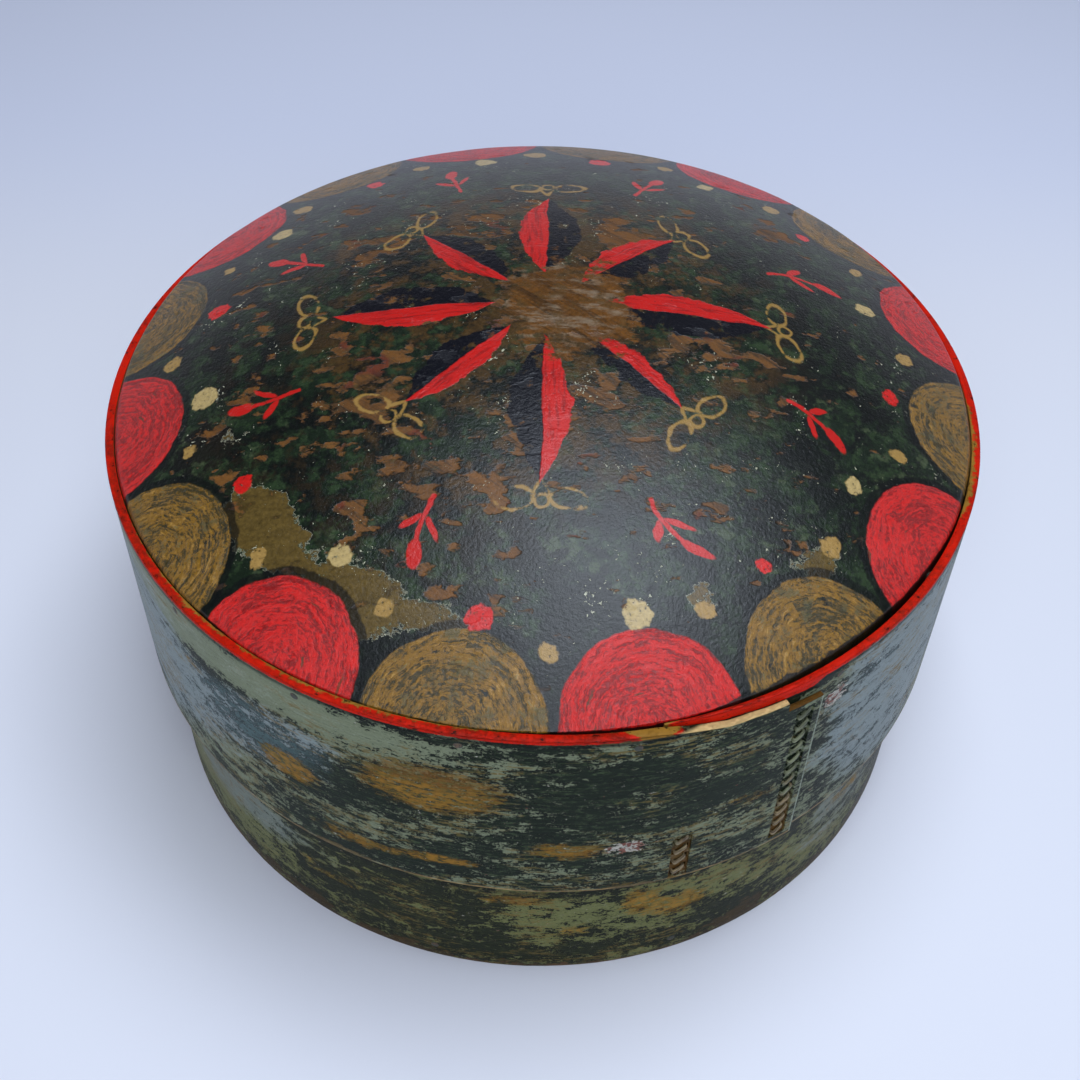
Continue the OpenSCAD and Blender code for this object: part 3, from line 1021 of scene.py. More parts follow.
def swept_object(
    name: str, points: np.ndarray, sharp_from: float, capped: bool = True
) -> bpy.types.Object:
    """Mesh object from outlines carried along ways, its faces turned outwards.

    Args:
        name: Name of the object.
        points: Array of ways x outlines x corners x 3, in millimetres. Each outline is closed on itself.
        sharp_from: Angle in degrees from which an edge stays sharp.
        capped: Whether the ends get a face each. If not, points that lie together are merged.

    Returns:
        The linked object, at the origin, in metres.
    """
    index = np.arange(points[..., 0].size).reshape(points.shape[:3])
    wrapped = np.concatenate([index, index[..., :1]], axis=2)
    here, beyond = wrapped[:, :-1], wrapped[:, 1:]
    sides = np.stack([here[..., :-1], here[..., 1:], beyond[..., 1:], beyond[..., :-1]], -1)
    faces = sides.reshape(-1, 4).tolist()
    if capped:
        faces += index[:, 0].tolist() + index[:, -1, ::-1].tolist()
    mesh = bpy.data.meshes.new(name)
    mesh.from_pydata((points.reshape(-1, 3) * MM).tolist(), [], faces)
    work = bmesh.new()
    work.from_mesh(mesh)
    if not capped:
        bmesh.ops.remove_doubles(work, verts=work.verts, dist=MERGE_WITHIN)
    bmesh.ops.recalc_face_normals(work, faces=work.faces)
    work.to_mesh(mesh)
    work.free()
    mesh.shade_smooth()
    mesh.set_sharp_from_angle(angle=np.radians(sharp_from))
    made = bpy.data.objects.new(name, mesh)
    bpy.context.scene.collection.objects.link(made)
    return made


def placed(out: Reach, across: Reach, up: Reach, angle: Reach) -> np.ndarray:
    """Points from their distances outward, across and up of a direction.

    Args:
        out: Distance from the axis along the direction.
        across: Distance to the left of the direction.
        up: Height.
        angle: The direction in degrees.

    Returns:
        Array of points, with x, y and z along the last axis.
    """
    turn = np.radians(angle)
    x = out * np.cos(turn) - across * np.sin(turn)
    y = out * np.sin(turn) + across * np.cos(turn)
    return np.stack(np.broadcast_arrays(x, y, up), -1)


def carry(piece: bpy.types.Object, name: str, values: np.ndarray) -> None:
    """Stores one number or one vector for each point of a piece, for its finish to read.

    Args:
        piece: The object.
        name: Name the finish reads.
        values: Numbers, or rows of three.
    """
    kind, slot = ("FLOAT_VECTOR", "vector") if values.ndim == 2 else ("FLOAT", "value")
    made = piece.data.attributes.new(name, kind, "POINT")
    made.data.foreach_set(slot, values.astype(np.float32).ravel())


def settle(piece: bpy.types.Object, body: str, node: str, finish: bpy.types.Material) -> None:
    """Puts a finished piece on its body in place of a node, and reports it.

    Args:
        piece: The object.
        body: Body that it moves with.
        node: Node of the frame that it stands for.
        finish: Its material.
    """
    piece.data.materials.append(finish)
    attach(piece, body)
    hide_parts(node)
    LOG.info("%s rides on %s in place of %s, %d faces", piece.name, body, node, len(piece.data.polygons))


def box_of(value: np.ndarray, middle: np.ndarray, half: float, edge: float) -> np.ndarray:
    """Box-shaped hump: 1 within the half width of the middle, 0 beyond, over a narrow edge."""
    return np.clip((half - np.abs(value - middle)) / edge + 0.5, 0.0, 1.0)


def paired(middles: np.ndarray, width: float) -> np.ndarray:
    """Values half a width below and half a width above each of some middles."""
    return np.concatenate([middles - width / 2, middles + width / 2])


def ripple(value: np.ndarray, waves: int, seed: int) -> np.ndarray:
    """Irregular wave round a circle, about -1 to 1: a sum of sines of whole counts with set phases.

    Args:
        value: Angle in degrees.
        waves: How many sines are added.
        seed: Seed of their counts and phases.

    Returns:
        The wave at each angle.
    """
    luck = np.random.default_rng(seed)
    counts = luck.integers(2, 6 * waves, waves)
    phases = luck.uniform(0, 2 * np.pi, waves)
    turns = np.radians(value)[..., None] * counts + phases
    return np.sin(turns).sum(axis=-1) / np.sqrt(waves)


@dataclass(frozen=True)
class Patch:
    """A soft oval patch on a surface, by its middle and its half sizes.

    The first number of each pair is an angle in degrees, the second a height or distance in mm.
    """

    middle: tuple[float, float]
    half: tuple[float, float]
    strength: float = 1.0

    def on(self, angle: np.ndarray, other: np.ndarray) -> np.ndarray:
        """Strength at points: a bell curve of the distance from the middle, in half sizes.

        Args:
            angle: Angle of each point.
            other: Height or distance of each point.

        Returns:
            Strength at each point.
        """
        turn = (angle - self.middle[0] + 180) % 360 - 180
        reach = (turn / self.half[0]) ** 2 + ((other - self.middle[1]) / self.half[1]) ** 2
        return self.strength * np.exp(-(reach**1.5))


def patched(patches: tuple[Patch, ...], angle: np.ndarray, other: np.ndarray) -> np.ndarray:
    """Sum of soft patches at points."""
    return sum((patch.on(angle, other) for patch in patches), np.zeros_like(angle))


@dataclass
class Dome:
    """Domed board of the lid: a turned cap, hollow underneath, shrunk away from its band on one side."""

    radius: float = 147.1
    seat_z: float = 134.0
    rim_z: float = 144.0
    rise: float = 37.0
    lip: float = 2.5
    crown_back: float = 4.5
    lean: float = 25.0
    hollow_radius: float = 134.1
    hollow_rise: float = 33.0
    edge_round: float = 0.4
    columns: int = 432
    rows: int = 150
    hollow_rows: int = 36
    gap: float = 1.3
    gap_at: float = -46.0
    gap_spread: float = 20.0
    warp: float = 0.06
    under_facing: float = -0.3
    sharp_from: float = 40.0
    # Where the painted shade along the joint with the band is deeper.
    gloom: tuple[Patch, ...] = (
        Patch((-56, 147), (16, 5), 0.36), Patch((-36, 147), (10, 5), 0.2),
    )
    bare: tuple[Patch, ...] = (
        Patch((150, 74), (9, 13), 0.22),
        Patch((118, 53), (9, 12), 0.18),
        Patch((59, 53), (10, 11), 0.18),
        Patch((-18, 60), (9, 20), 0.16),
        Patch((-67, 48), (11, 12), 0.16),
        Patch((214, 66), (16, 20), 0.13),
        Patch((37, 104), (6, 8), 0.2),
        Patch((-100, 50), (6, 18), 0.14),
        Patch((250, 78), (14, 7), 0.14),
        Patch((222, 86), (42, 34), 0.06),
        Patch((180, 45), (180, 40), 0.04),
    )
    lost: tuple[Patch, ...] = (
        Patch((224, 118), (9, 12), 0.6),
        Patch((243, 122), (10, 12), 0.6),
        Patch((257, 120), (6, 6), 0.4),
        Patch((-48, 124), (6, 8), 0.4),
        Patch((-66, 118), (3, 6), 0.4),
        Patch((205, 108), (5, 9), 0.3),
    )

    def ball(self, radius: float, rise: float) -> float:
        """Radius of the sphere that has this rise over this radius."""
        return (radius * radius + rise * rise) / (2 * rise)

    def crown(self, radius: np.ndarray, turn: np.ndarray) -> np.ndarray:
        """Height of the crown: a sphere whose top lies behind the middle.

        Args:
            radius: Distance from the lid's axis.
            turn: Direction from the axis, in radians.

        Returns:
            Height in millimetres.
        """
        outer = self.ball(self.radius, self.rise - self.lip)
        far = (radius * np.cos(turn)) ** 2 + (radius * np.sin(turn) - self.crown_back) ** 2
        return self.rim_z + self.rise - outer + np.sqrt(outer**2 - far)

    def shoulder(self, turn: np.ndarray) -> np.ndarray:
        """Radius at which the crown meets the leaning edge, found by a few steps of trial.

        Args:
            turn: Direction from the axis, in radians.

        Returns:
            Radius in millimetres.
        """
        radius = self.radius + 0 * turn
        for _ in range(6):
            over_rim = np.maximum(self.crown(radius, turn) - self.rim_z, 0.0)
            radius = self.radius - over_rim * np.tan(np.radians(self.lean))
        return radius

    def build(self) -> bpy.types.Object:
        """Crown, rounded shoulder, leaning edge, upright edge, seat ring and hollow, turned round the axis.

        A point at share s of the radius then moves in by s^6 times a bell curve of its angle, and
        down by a slow wave that grows outwards, as the board has shrunk and warped.

        Returns:
            The board's object.
        """
        angle = np.linspace(-180, 180, self.columns, endpoint=False)[None, :]
        turn = np.radians(angle)
        soft = self.edge_round
        meet = self.shoulder(turn)
        proud = self.crown(meet, turn) - self.rim_z
        crown_r = np.linspace(0, 1, self.rows)[:, None] * (meet - soft)
        lean_z = self.rim_z + proud * np.array([0.8, 0.4, 0.0])[:, None]
        lean_r = self.radius - (lean_z - self.rim_z) * np.tan(np.radians(self.lean))
        inner = self.ball(self.hollow_radius, self.hollow_rise)
        low_r = np.linspace(self.hollow_radius, 0, self.hollow_rows)[:, None]
        low_z = self.seat_z + self.hollow_rise - inner + np.sqrt(inner**2 - low_r**2)
        rows = [
            (crown_r, self.crown(crown_r, turn)),
            (meet - 0.3 * soft, self.rim_z + proud - 0.1 * soft),
            (lean_r, lean_z),
            (self.radius, self.seat_z + soft),
            (self.radius - 0.3 * soft, self.seat_z),
            (low_r, low_z),
        ]
        radius = np.concatenate([np.atleast_2d(part[0]) + 0 * angle for part in rows])
        height = np.concatenate([np.atleast_2d(part[1]) + 0 * angle for part in rows])
        share = radius / self.radius
        drawn = self.gap * np.exp(-(((angle - self.gap_at) / self.gap_spread) ** 2))
        radius = radius - share**6 * (drawn + self.warp * (1 + ripple(angle, 6, 3)))
        height = height - share**3 * self.warp * (1 + np.clip(ripple(angle, 4, 8), -1, 1))
        points = placed(radius, 0.0, height, angle)
        dome = swept_object("lid_dome_painted", points[None], self.sharp_from, capped=False)
        self.mark(dome)
        return dome

    def mark(self, dome: bpy.types.Object) -> None:
        """Stores where the wood is bare, where the green has come off and where the painted shade along the
        joint is deeper.

        Args:
            dome: The board's object.
        """
        flat = np.empty(len(dome.data.vertices) * 3)
        dome.data.vertices.foreach_get("co", flat)
        points = flat.reshape(-1, 3) / MM
        angle = np.degrees(np.arctan2(points[:, 1], points[:, 0]))
        far = np.hypot(points[:, 0], points[:, 1])
        carry(dome, "wear", patched(self.bare, angle, far))
        carry(dome, "loss", patched(self.lost, angle, far))
        carry(dome, "gloom", patched(self.gloom, angle, far))

    def dress(self, dome: bpy.types.Object) -> None:
        """Paints the top, leaves the underside bare and settles the piece on the lid.

        Args:
            dome: The board's object.
        """
        settle(dome, "lid", "lid_dome", DomePaint().dress())
        dome.data.materials.append(BareWood("dome_hollow_wood").dress())
        facing = np.empty(len(dome.data.polygons) * 3)
        dome.data.polygons.foreach_get("normal", facing)
        under = facing.reshape(-1, 3)[:, 2] < self.under_facing
        dome.data.polygons.foreach_set("material_index", under.astype(np.int32))


@dataclass(frozen=True)
class Row:
    """One sewn row of a lap: its direction, the height of its top stitch and its stitches."""

    angle: float
    top: float
    count: int


@dataclass(frozen=True)
class Sewing:
    """Sizes of the split root and of the slits and channel that it lies in."""

    root_w: float = 2.2
    root_t: float = 1.0
    pitch: float = 5.8
    span: float = 3.6
    drop: float = 2.4
    slit_w: float = 1.6
    slit_h: float = 2.8
    channel_d: float = 0.7
    channel_w: float = 6.2
    lift: float = 0.1
    cut_edge: float = 0.12
    cut_end: float = 0.16


class Side(Enum):
    """Sides of a bent strip's cross-section, in the order its outline runs."""

    OUTSIDE = 0
    TOP = 1
    INSIDE = 2
    FOOT = 3


@dataclass
class Hoop:
    """Strip bent into a hoop: it starts thin, goes once round and ends on top of its own start."""

    name: str
    body: str
    node: str
    inner_r: float
    thick: float
    foot: float
    top: float
    lap_end: float
    lap_angle: float
    run_angle: float
    under: float
    outer_tip: float
    rows: tuple[Row, ...]
    paint: BandPaint
    columns: int
    inner_tip: float = 0.8
    ply_gap: float = 0.2
    ply_drop: float = 0.0
    chip_angle: float = 0.0
    chip_drop: float = 0.0
    drop_taper: float = 8.0
    end_highlight: float = 0.22
    waver: float = 0.25
    soft: float = 0.45
    face_rows: int = 34
    top_reach: float = 9.5
    foot_reach: float = 6.0
    roughness: float = 0.14
    step_edge: float = 0.1
    skin: float = 0.1
    edge_clear: float = 0.4
    least_step: float = 0.05
    sharp_from: float = 38.0
    bare: tuple[Patch, ...] = ()
    slate: tuple[Patch, ...] = ()
    sage: tuple[Patch, ...] = ()
    rim_wear: tuple[Patch, ...] = ()
    marks: tuple[Patch, ...] = ()
    sewing: Sewing = field(default_factory=Sewing)

    @property
    def lap_start(self) -> float:
        """Direction of the hidden inner end."""
        return self.lap_end - self.lap_angle

    def outer_face(self, angle: np.ndarray) -> np.ndarray:
        """Radius of the outer face along the strip: straight steps between its thicknesses.

        Args:
            angle: Angle along the strip.

        Returns:
            Radius at each angle.
        """
        stops = [self.lap_start, self.lap_end, self.lap_end + self.run_angle,
                 self.lap_start - self.run_angle + 360, self.lap_start + 360, self.lap_end + 360]
        lifts = [self.inner_tip, self.under, self.thick, self.thick,
                 self.inner_tip + self.ply_gap + self.thick, self.under + self.ply_gap + self.outer_tip]
        return self.inner_r + np.interp(angle, stops, lifts)

    def inner_face(self, angle: np.ndarray) -> np.ndarray:
        """Radius of the inner face along the strip, which climbs over the start at the end."""
        stops = [self.lap_start - self.run_angle + 360, self.lap_start + 360, self.lap_end + 360]
        return self.inner_r + np.interp(angle, stops, [0, self.inner_tip + self.ply_gap,
                                                       self.under + self.ply_gap])

    def angle_lines(self) -> np.ndarray:
        """Directions of the grid's columns: even steps, with close pairs at every cut.

        Returns:
            Angles in rising order.
        """
        even = np.linspace(self.lap_start, self.lap_end + 360, self.columns)
        sew = self.sewing
        slit_at = np.array([-sew.span / 2, sew.span / 2])
        cuts = np.concatenate([paired(np.zeros(1), sew.channel_w), paired(slit_at, sew.slit_w)])
        pairs = paired(cuts, sew.cut_edge)
        turns = np.degrees(pairs / self.inner_r)
        sewn = [row.angle + turns + lap for row in self.rows for lap in (0, 360)]
        finish = self.lap_end + 360
        steps = np.array([self.lap_start + 360, finish - self.chip_angle, finish - self.end_highlight])
        ends = paired(steps, self.step_edge)
        lines = np.unique(np.concatenate([even, *sewn, ends]))
        return lines[(lines >= self.lap_start) & (lines <= self.lap_end + 360)]

    def height_lines(self) -> np.ndarray:
        """Heights of the faces' grid lines: even steps, with close pairs at every slit.

        Returns:
            Heights in rising order.
        """
        sew = self.sewing
        even = np.linspace(self.foot + self.soft, self.top - self.soft, self.face_rows)
        slits = [row.top - np.arange(row.count) * sew.pitch - side * sew.drop
                 for row in self.rows for side in (0, 1)]
        middles = np.concatenate(slits)
        cuts = paired(paired(middles, sew.slit_h), sew.cut_end)
        lines = np.concatenate([even, cuts])
        lines = np.sort(lines[(lines > self.foot + self.edge_clear) & (lines < self.top - self.edge_clear)])
        return lines[np.concatenate([[True], np.diff(lines) > self.least_step])]

    def cut_depths(self, angle: np.ndarray, height: np.ndarray) -> tuple[np.ndarray, np.ndarray]:
        """Channel and slit masks of the sewn rows at points, each from 0 to 1.

        Args:
            angle: Angle of each outline.
            height: Heights on the faces.

        Returns:
            The two masks.
        """
        sew = self.sewing
        channel = np.zeros(np.broadcast_shapes(angle.shape, height.shape))
        slits = np.zeros_like(channel)
        for row in self.rows:
            across = np.radians((angle - row.angle + 180) % 360 - 180) * self.inner_r
            low = row.top - (row.count - 1) * sew.pitch - sew.drop
            tall = (row.top - low + sew.slit_h) / 2
            lane = box_of(across, 0, sew.channel_w / 2, sew.cut_edge)
            channel = np.maximum(channel, lane * box_of(height, (row.top + low) / 2, tall, sew.cut_end))
            for side in (0, 1):
                column = box_of(across, (0.5 - side) * sew.span, sew.slit_w / 2, sew.cut_edge)
                middles = row.top - np.arange(row.count) * sew.pitch - side * sew.drop
                holes = box_of(height[..., None], middles, sew.slit_h / 2, sew.cut_end).max(axis=-1)
                slits = np.maximum(slits, column * holes)
        return channel, slits

    def top_edge(self, angle: np.ndarray) -> np.ndarray:
        """Height of the top edge along the strip: a slope down over the lap, a deeper notch at its end.

        Args:
            angle: Angle along the strip.

        Returns:
            Height at each angle.
        """
        past_lap = np.clip((angle - self.lap_start - 360) / self.drop_taper + 0.1, 0, 1)
        past_chip = np.clip((angle - self.lap_end - 360 + self.chip_angle) / self.step_edge + 0.5, 0, 1)
        rough = self.roughness * (1 + ripple(angle * 4, 9, 21)) * past_lap * (self.ply_drop > 0)
        return self.top - self.ply_drop * past_lap - self.chip_drop * past_chip - rough

    def build(self) -> bpy.types.Object:
        """The strip's outline carried round the hoop.

        At each angle the outline runs up the outer face, over the top, down the inner face and back
        under the foot, with rounded corners. Sewn rows sink the outer face by the channel and the
        slits, and the slits sink the inner face of the ply below.

        Returns:
            The strip's object.
        """
        angle = self.angle_lines()[:, None]
        lines = self.height_lines()[None, :]
        top = self.top_edge(angle)
        foot = self.foot + self.waver * (0.5 + 0.5 * np.clip(ripple(angle, 7, 5), -1, 1))
        bend = self.top - self.top_reach
        low = self.foot + self.foot_reach
        face_z = np.where(lines > bend, bend + (lines - bend) * (top - bend) / (self.top - bend), lines)
        face_z = np.where(lines < low, low - (low - lines) * (low - foot) / (low - self.foot), face_z)
        outer, inner = self.outer_face(angle), self.inner_face(angle)
        channel, slits = self.cut_depths(angle, face_z)
        over = angle > self.lap_end + 180
        below = angle < self.lap_end
        ply = outer - inner
        sink = np.where(over, np.maximum(channel * self.sewing.channel_d, slits * (ply - self.skin)), 0.0)
        lift = np.where(below, slits * (ply - self.skin), 0.0)
        soft = np.minimum(self.soft, ply * 0.4)
        hem = soft * (1 - np.sqrt(0.5))
        outer_r = outer - sink
        inner_r = inner + lift
        sections = [
            (outer_r, face_z),
            (outer - hem, top - hem),
            (outer - soft, top),
            (inner + soft, top),
            (inner + hem, top - hem),
            (inner_r[:, ::-1], face_z[:, ::-1]),
            (inner + hem, foot + hem),
            (inner + soft, foot),
            (outer - soft, foot),
            (outer - hem, foot + hem),
        ]
        radius = np.concatenate([part[0] for part in sections], axis=1)
        height = np.concatenate([part[1] for part in sections], axis=1)
        band = swept_object(self.name, placed(radius, 0.0, height, angle)[None], self.sharp_from)
        self.mark(band, angle + 0 * radius, height, lines.size, channel, slits, over)
        return band

    def mark(
        self, band: bpy.types.Object, angle: np.ndarray, height: np.ndarray, face: int,
        channel: np.ndarray, slits: np.ndarray, over: np.ndarray,
    ) -> None:
        """Stores what the paint reads: place on the strip, side, patches and sewn hollows.

        Args:
            band: The strip's object.
            angle: Angle of each point.
            height: Height of each point.
            face: How many points of an outline lie on one face.
            channel: Channel mask on the faces.
            slits: Slit mask on the faces.
            over: Which outlines lie on the outer ply.
        """
        side = np.full(angle.shape[1], Side.INSIDE.value)
        across = np.ones(angle.shape[1])
        side[:face] = Side.OUTSIDE.value
        across[:face] = 0.0
        side[face:face + 4] = Side.TOP.value
        across[face:face + 4] = (0.15, 0.3, 0.7, 0.85)
        side[-4:] = Side.FOOT.value
        side = side[None, :] + 0 * angle
        top = side == Side.TOP.value
        outer = side == Side.OUTSIDE.value
        outward = np.where(side == Side.INSIDE.value, 0.0, 1.0)
        depth = np.where(outer, 0.0, 6.0 + 3.0 * side + 3.0 * across[None, :])
        sewn = np.zeros((2, *angle.shape))
        sewn[0, :, :face] = np.where(over, channel, 0.0)
        sewn[1, :, :face] = np.where(over, slits, 0.0)
        finish = self.lap_end + 360
        dropped = (angle > self.lap_start + 360.3) & (self.ply_drop > 0) & top
        notch = dropped & (angle > finish - self.chip_angle - 0.02)
        worn = np.clip(1.4 * (angle - self.lap_start - 360) / self.drop_taper - across + 0.4, 0, 1)
        carry(band, "strip", np.stack([np.radians(angle) * self.inner_r, height, depth], -1).reshape(-1, 3))
        for name, values in (
            ("outside", outward),
            ("across", across[None, :] + 0 * angle),
            ("channel", sewn[0]),
            ("slits", sewn[1]),
            ("ply_red", (angle <= self.lap_end) & (self.ply_drop > 0)),
            ("end_edge", outer & (angle > finish - self.end_highlight)),
            ("broken", np.where(dropped & ~notch, worn, 0.0)),
            ("notch", notch),
        ):
            carry(band, name, values.astype(float).ravel())
        for name, patches in (("bare", self.bare), ("slate", self.slate), ("sage", self.sage),
                              ("rim_wear", self.rim_wear), ("marks", self.marks)):
            carry(band, name, patched(patches, angle.ravel(), height.ravel()))

    def dress(self, band: bpy.types.Object) -> None:
        """Paints the strip and settles it on its body."""
        settle(band, self.body, self.node, self.paint.dress())


@dataclass
class Lacing:
    """Split root sewn through the slits of one row, out at the right, across and in at the left."""

    name: str
    node: str
    hoop: Hoop
    row: Row
    sides: int = 10
    rounds: int = 3
    bend_share: float = 0.45
    squareness: float = 0.75
    thinning: float = 0.1
    sharp_from: float = 60.0

    def way(self) -> np.ndarray:
        """Points of the root's middle line in the row's own directions: outward, across, up.

        Eight points a stitch, with every corner then cut at a quarter and three quarters of its
        sides, over and over.

        Returns:
            Points in millimetres, one row each.
        """
        sew = self.hoop.sewing
        here = np.array([self.row.angle + 360])
        out = float(self.hoop.outer_face(here)[0]) - sew.channel_d + sew.lift + sew.root_t / 2
        back = self.hoop.inner_r - sew.lift - sew.root_t / 2
        right = sew.span / 2
        bend = sew.root_t * self.bend_share
        stitch = np.array([
            [back, right - bend, 0], [back + bend, right, 0],
            [out - bend, right, 0], [out, right - bend, 0],
            [out, bend - right, -sew.drop], [out - bend, -right, -sew.drop],
            [back + bend, -right, -sew.drop], [back, bend - right, -sew.drop],
        ])
        tops = self.row.top - np.arange(self.row.count) * sew.pitch
        lift = np.zeros((self.row.count, 1, 3))
        lift[:, 0, 2] = tops
        way = (stitch[None] + lift).reshape(-1, 3)
        for _ in range(self.rounds):
            near = 0.75 * way[:-1] + 0.25 * way[1:]
            beyond = 0.25 * way[:-1] + 0.75 * way[1:]
            cut = np.stack([near, beyond], 1).reshape(-1, 3)
            way = np.concatenate([way[:1], cut, way[-1:]])
        return way

    def build(self) -> bpy.types.Object:
        """A flat oval carried along the way, its flat side turned with the way's plan.

        Returns:
            The root's object.
        """
        sew = self.hoop.sewing
        way = self.way()
        run = np.gradient(way, axis=0)
        plan = np.stack([-run[:, 1], run[:, 0]], -1)
        plan /= np.maximum(np.linalg.norm(plan, axis=1, keepdims=True), 1e-9)
        length = np.concatenate([[0], np.cumsum(np.linalg.norm(np.diff(way, axis=0), axis=1))])
        turn = np.linspace(0, 2 * np.pi, self.sides, endpoint=False)
        flat = np.sign(np.cos(turn)) * np.abs(np.cos(turn)) ** self.squareness * sew.root_t / 2
        wide = np.sin(turn) * sew.root_w / 2
        swell = 1 - self.thinning * (1 + np.sin(length * 1.9) * np.sin(length * 0.63 + 1))[:, None]
        across = plan[:, None, :] * flat[None, :, None]
        up = wide[None, :] * swell
        flat_way = way[:, None, :2] + across
        points = placed(flat_way[..., 0], flat_way[..., 1], way[:, None, 2] + up, self.row.angle)
        lace = swept_object(self.name, points[None], self.sharp_from)
        fibre = np.stack(np.broadcast_arrays(length[:, None], flat[None, :], up), -1)
        carry(lace, "root", fibre.reshape(-1, 3))
        return lace

    def dress(self, lace: bpy.types.Object, finish: bpy.types.Material) -> None:
        """Gives the root its finish and settles it on the hoop's body."""
        settle(lace, self.hoop.body, self.node, finish)


@dataclass
class PegRing:
    """Round pegs driven through a hoop into its board, heads trimmed flush."""

    name: str
    node: str
    hoop: Hoop
    count: int
    height: float
    paint: PegWood
    radius: float = 1.6
    length: float = 16.0
    point: float = 3.0
    end_gap: float = 3.0
    sides: int = 16
    sharp_from: float = 40.0

    def build(self) -> bpy.types.Object:
        """The peg's half section turned round each peg's own axis, all pegs in one array.

        The section runs from the tip along the shaft to a head that swells a little.

        Returns:
            The pegs' object.
        """
        hoop = self.hoop
        spread = 360 - hoop.lap_angle - 2 * self.end_gap
        angle = hoop.lap_end + self.end_gap + np.arange(self.count) * spread / (self.count - 1)
        head = hoop.outer_face(angle)
        r = self.radius
        section = np.array([
            [-self.length, 0.02], [-self.length, 0.5], [self.point - self.length, r],
            [-0.15, r], [-0.02, 0.9 * r], [0.05, 0.55 * r], [0.07, 0.02],
        ])
        turn = np.linspace(0, 2 * np.pi, self.sides, endpoint=False)
        out = head[:, None, None] + section[None, :, :1] + 0 * turn
        across = section[None, :, 1:] * np.cos(turn) + 0 * out
        up = self.height + section[None, :, 1:] * np.sin(turn) + 0 * out
        points = placed(out, across, up, angle[:, None, None])
        return swept_object(self.name, points, self.sharp_from)

    def dress(self, pegs: bpy.types.Object) -> None:
        """Gives the pegs their finish and settles them on the hoop's body."""
        settle(pegs, self.hoop.body, self.node, self.paint.dress())


LID_ROWS = (Row(-58.334, 132.1, 12), Row(-72.134, 84.7, 4))
BOX_ROWS = (Row(117.588, 130.1, 20), Row(103.339, 35.7, 4))


def lid_hoop() -> Hoop:
    """The lid's band, with the lap, notch and worn patches of its front."""
    return Hoop(
        name="lid_band_painted", body="lid", node="lid_band", inner_r=147.3, thick=3.0, foot=61.0,
        top=144.0, lap_end=-56.0, lap_angle=19.823, run_angle=19.061, under=2.4, outer_tip=1.8,
        ply_drop=3.5, chip_angle=4.956, chip_drop=4.0, columns=244,
        # Pale foot line of the lid: partly worn wood, partly painted highlight on its lower edge.
        paint=BandPaint("lid_band_paint", 144.0, 61.0, 2.2, foot_wood_and_glint=tint(176, 142, 88)), rows=LID_ROWS,
        bare=(
            Patch((-102, 114), (10, 14), 1.0), Patch((-121, 98), (5, 8), 1.0),
            Patch((-86, 86), (6, 6), 0.8), Patch((-101, 75), (5, 3), 0.9),
            Patch((-112, 72), (8, 4), 0.7), Patch((-137, 116), (3, 4), 0.6),
            Patch((-64, 96), (5, 5), 0.55), Patch((-40, 112), (5, 6), 0.5),
            Patch((-85, 64), (16, 3), 0.5), Patch((-32, 74), (12, 5), 0.45),
            Patch((-147, 84), (10, 5), 0.5), Patch((40, 100), (14, 10), 0.7),
            Patch((150, 80), (16, 8), 0.7), Patch((95, 120), (9, 9), 0.8),
            Patch((-175, 110), (7, 9), 0.7),
        ),
        slate=(
            Patch((-124, 108), (14, 20), 0.6), Patch((-38, 108), (19, 56), 0.8),
            Patch((-152, 100), (20, 40), 0.9), Patch((70, 95), (30, 26), 0.4),
            Patch((180, 90), (25, 24), 0.35),
        ),
        sage=(
            Patch((-128, 134), (26, 8), 0.16), Patch((-76, 115), (14, 22), -0.02),
            Patch((-152, 105), (20, 44), 0.1), Patch((-36, 106), (20, 56), 0.08),
        ),
        rim_wear=(
            Patch((-120, 144), (24, 4), 0.12), Patch((-77, 144), (2.5, 4), 0.4),
            Patch((-12, 144), (14, 4), 0.16), Patch((140, 144), (20, 4), 0.1),
        ),
        marks=(Patch((-79, 86), (2.6, 4), 1.0), Patch((-53, 128), (2.0, 5), 1.0)),
    )


def box_hoop() -> Hoop:
    """The box's band, sewn at the back, with the worn patches of its front and foot."""
    return Hoop(
        name="box_band_painted", body="box", node="box_band", inner_r=142.5, thick=3.0, foot=0.0,
        top=134.0, lap_end=120.0, lap_angle=20.477, run_angle=19.689, under=2.0, outer_tip=1.3,
        rows=BOX_ROWS, columns=160,
        paint=BandPaint(
            "box_band_paint", 134.0, 0.0, 8.0, red_rim=False, covered_from=61.0, lid_shadow_z=51.0,
            dark=tint(28, 34, 17), green=tint(60, 63, 34), sage=tint(106, 109, 66),
            slate_and_sheen=tint(112, 121, 114),
        ),
        bare=(
            Patch((-92, 46), (6, 4), 0.8), Patch((-76, 41), (3, 9), 0.9),
            Patch((-70, 32), (5, 9), 0.9), Patch((-84, 25), (5, 6), 0.6),
            Patch((-40, 40), (6, 8), 0.6), Patch((-120, 30), (9, 6), 0.45),
            Patch((30, 30), (14, 9), 0.7), Patch((160, 35), (12, 9), 0.7),
            Patch((90, 20), (10, 6), 0.6),
        ),
        slate=(
            Patch((-136, 40), (22, 18), 0.6), Patch((-38, 38), (18, 30), 0.55),
            Patch((60, 40), (30, 20), 0.3),
        ),
        sage=(
            Patch((-78, 34), (16, 14), 0.08), Patch((-106, 32), (14, 18), -0.02),
            Patch((-52, 22), (12, 12), 0.01), Patch((-90, 10), (18, 6), -0.04),
            Patch((-146, 36), (24, 30), 0.1), Patch((-40, 36), (16, 34), 0.055),
        ),
    )


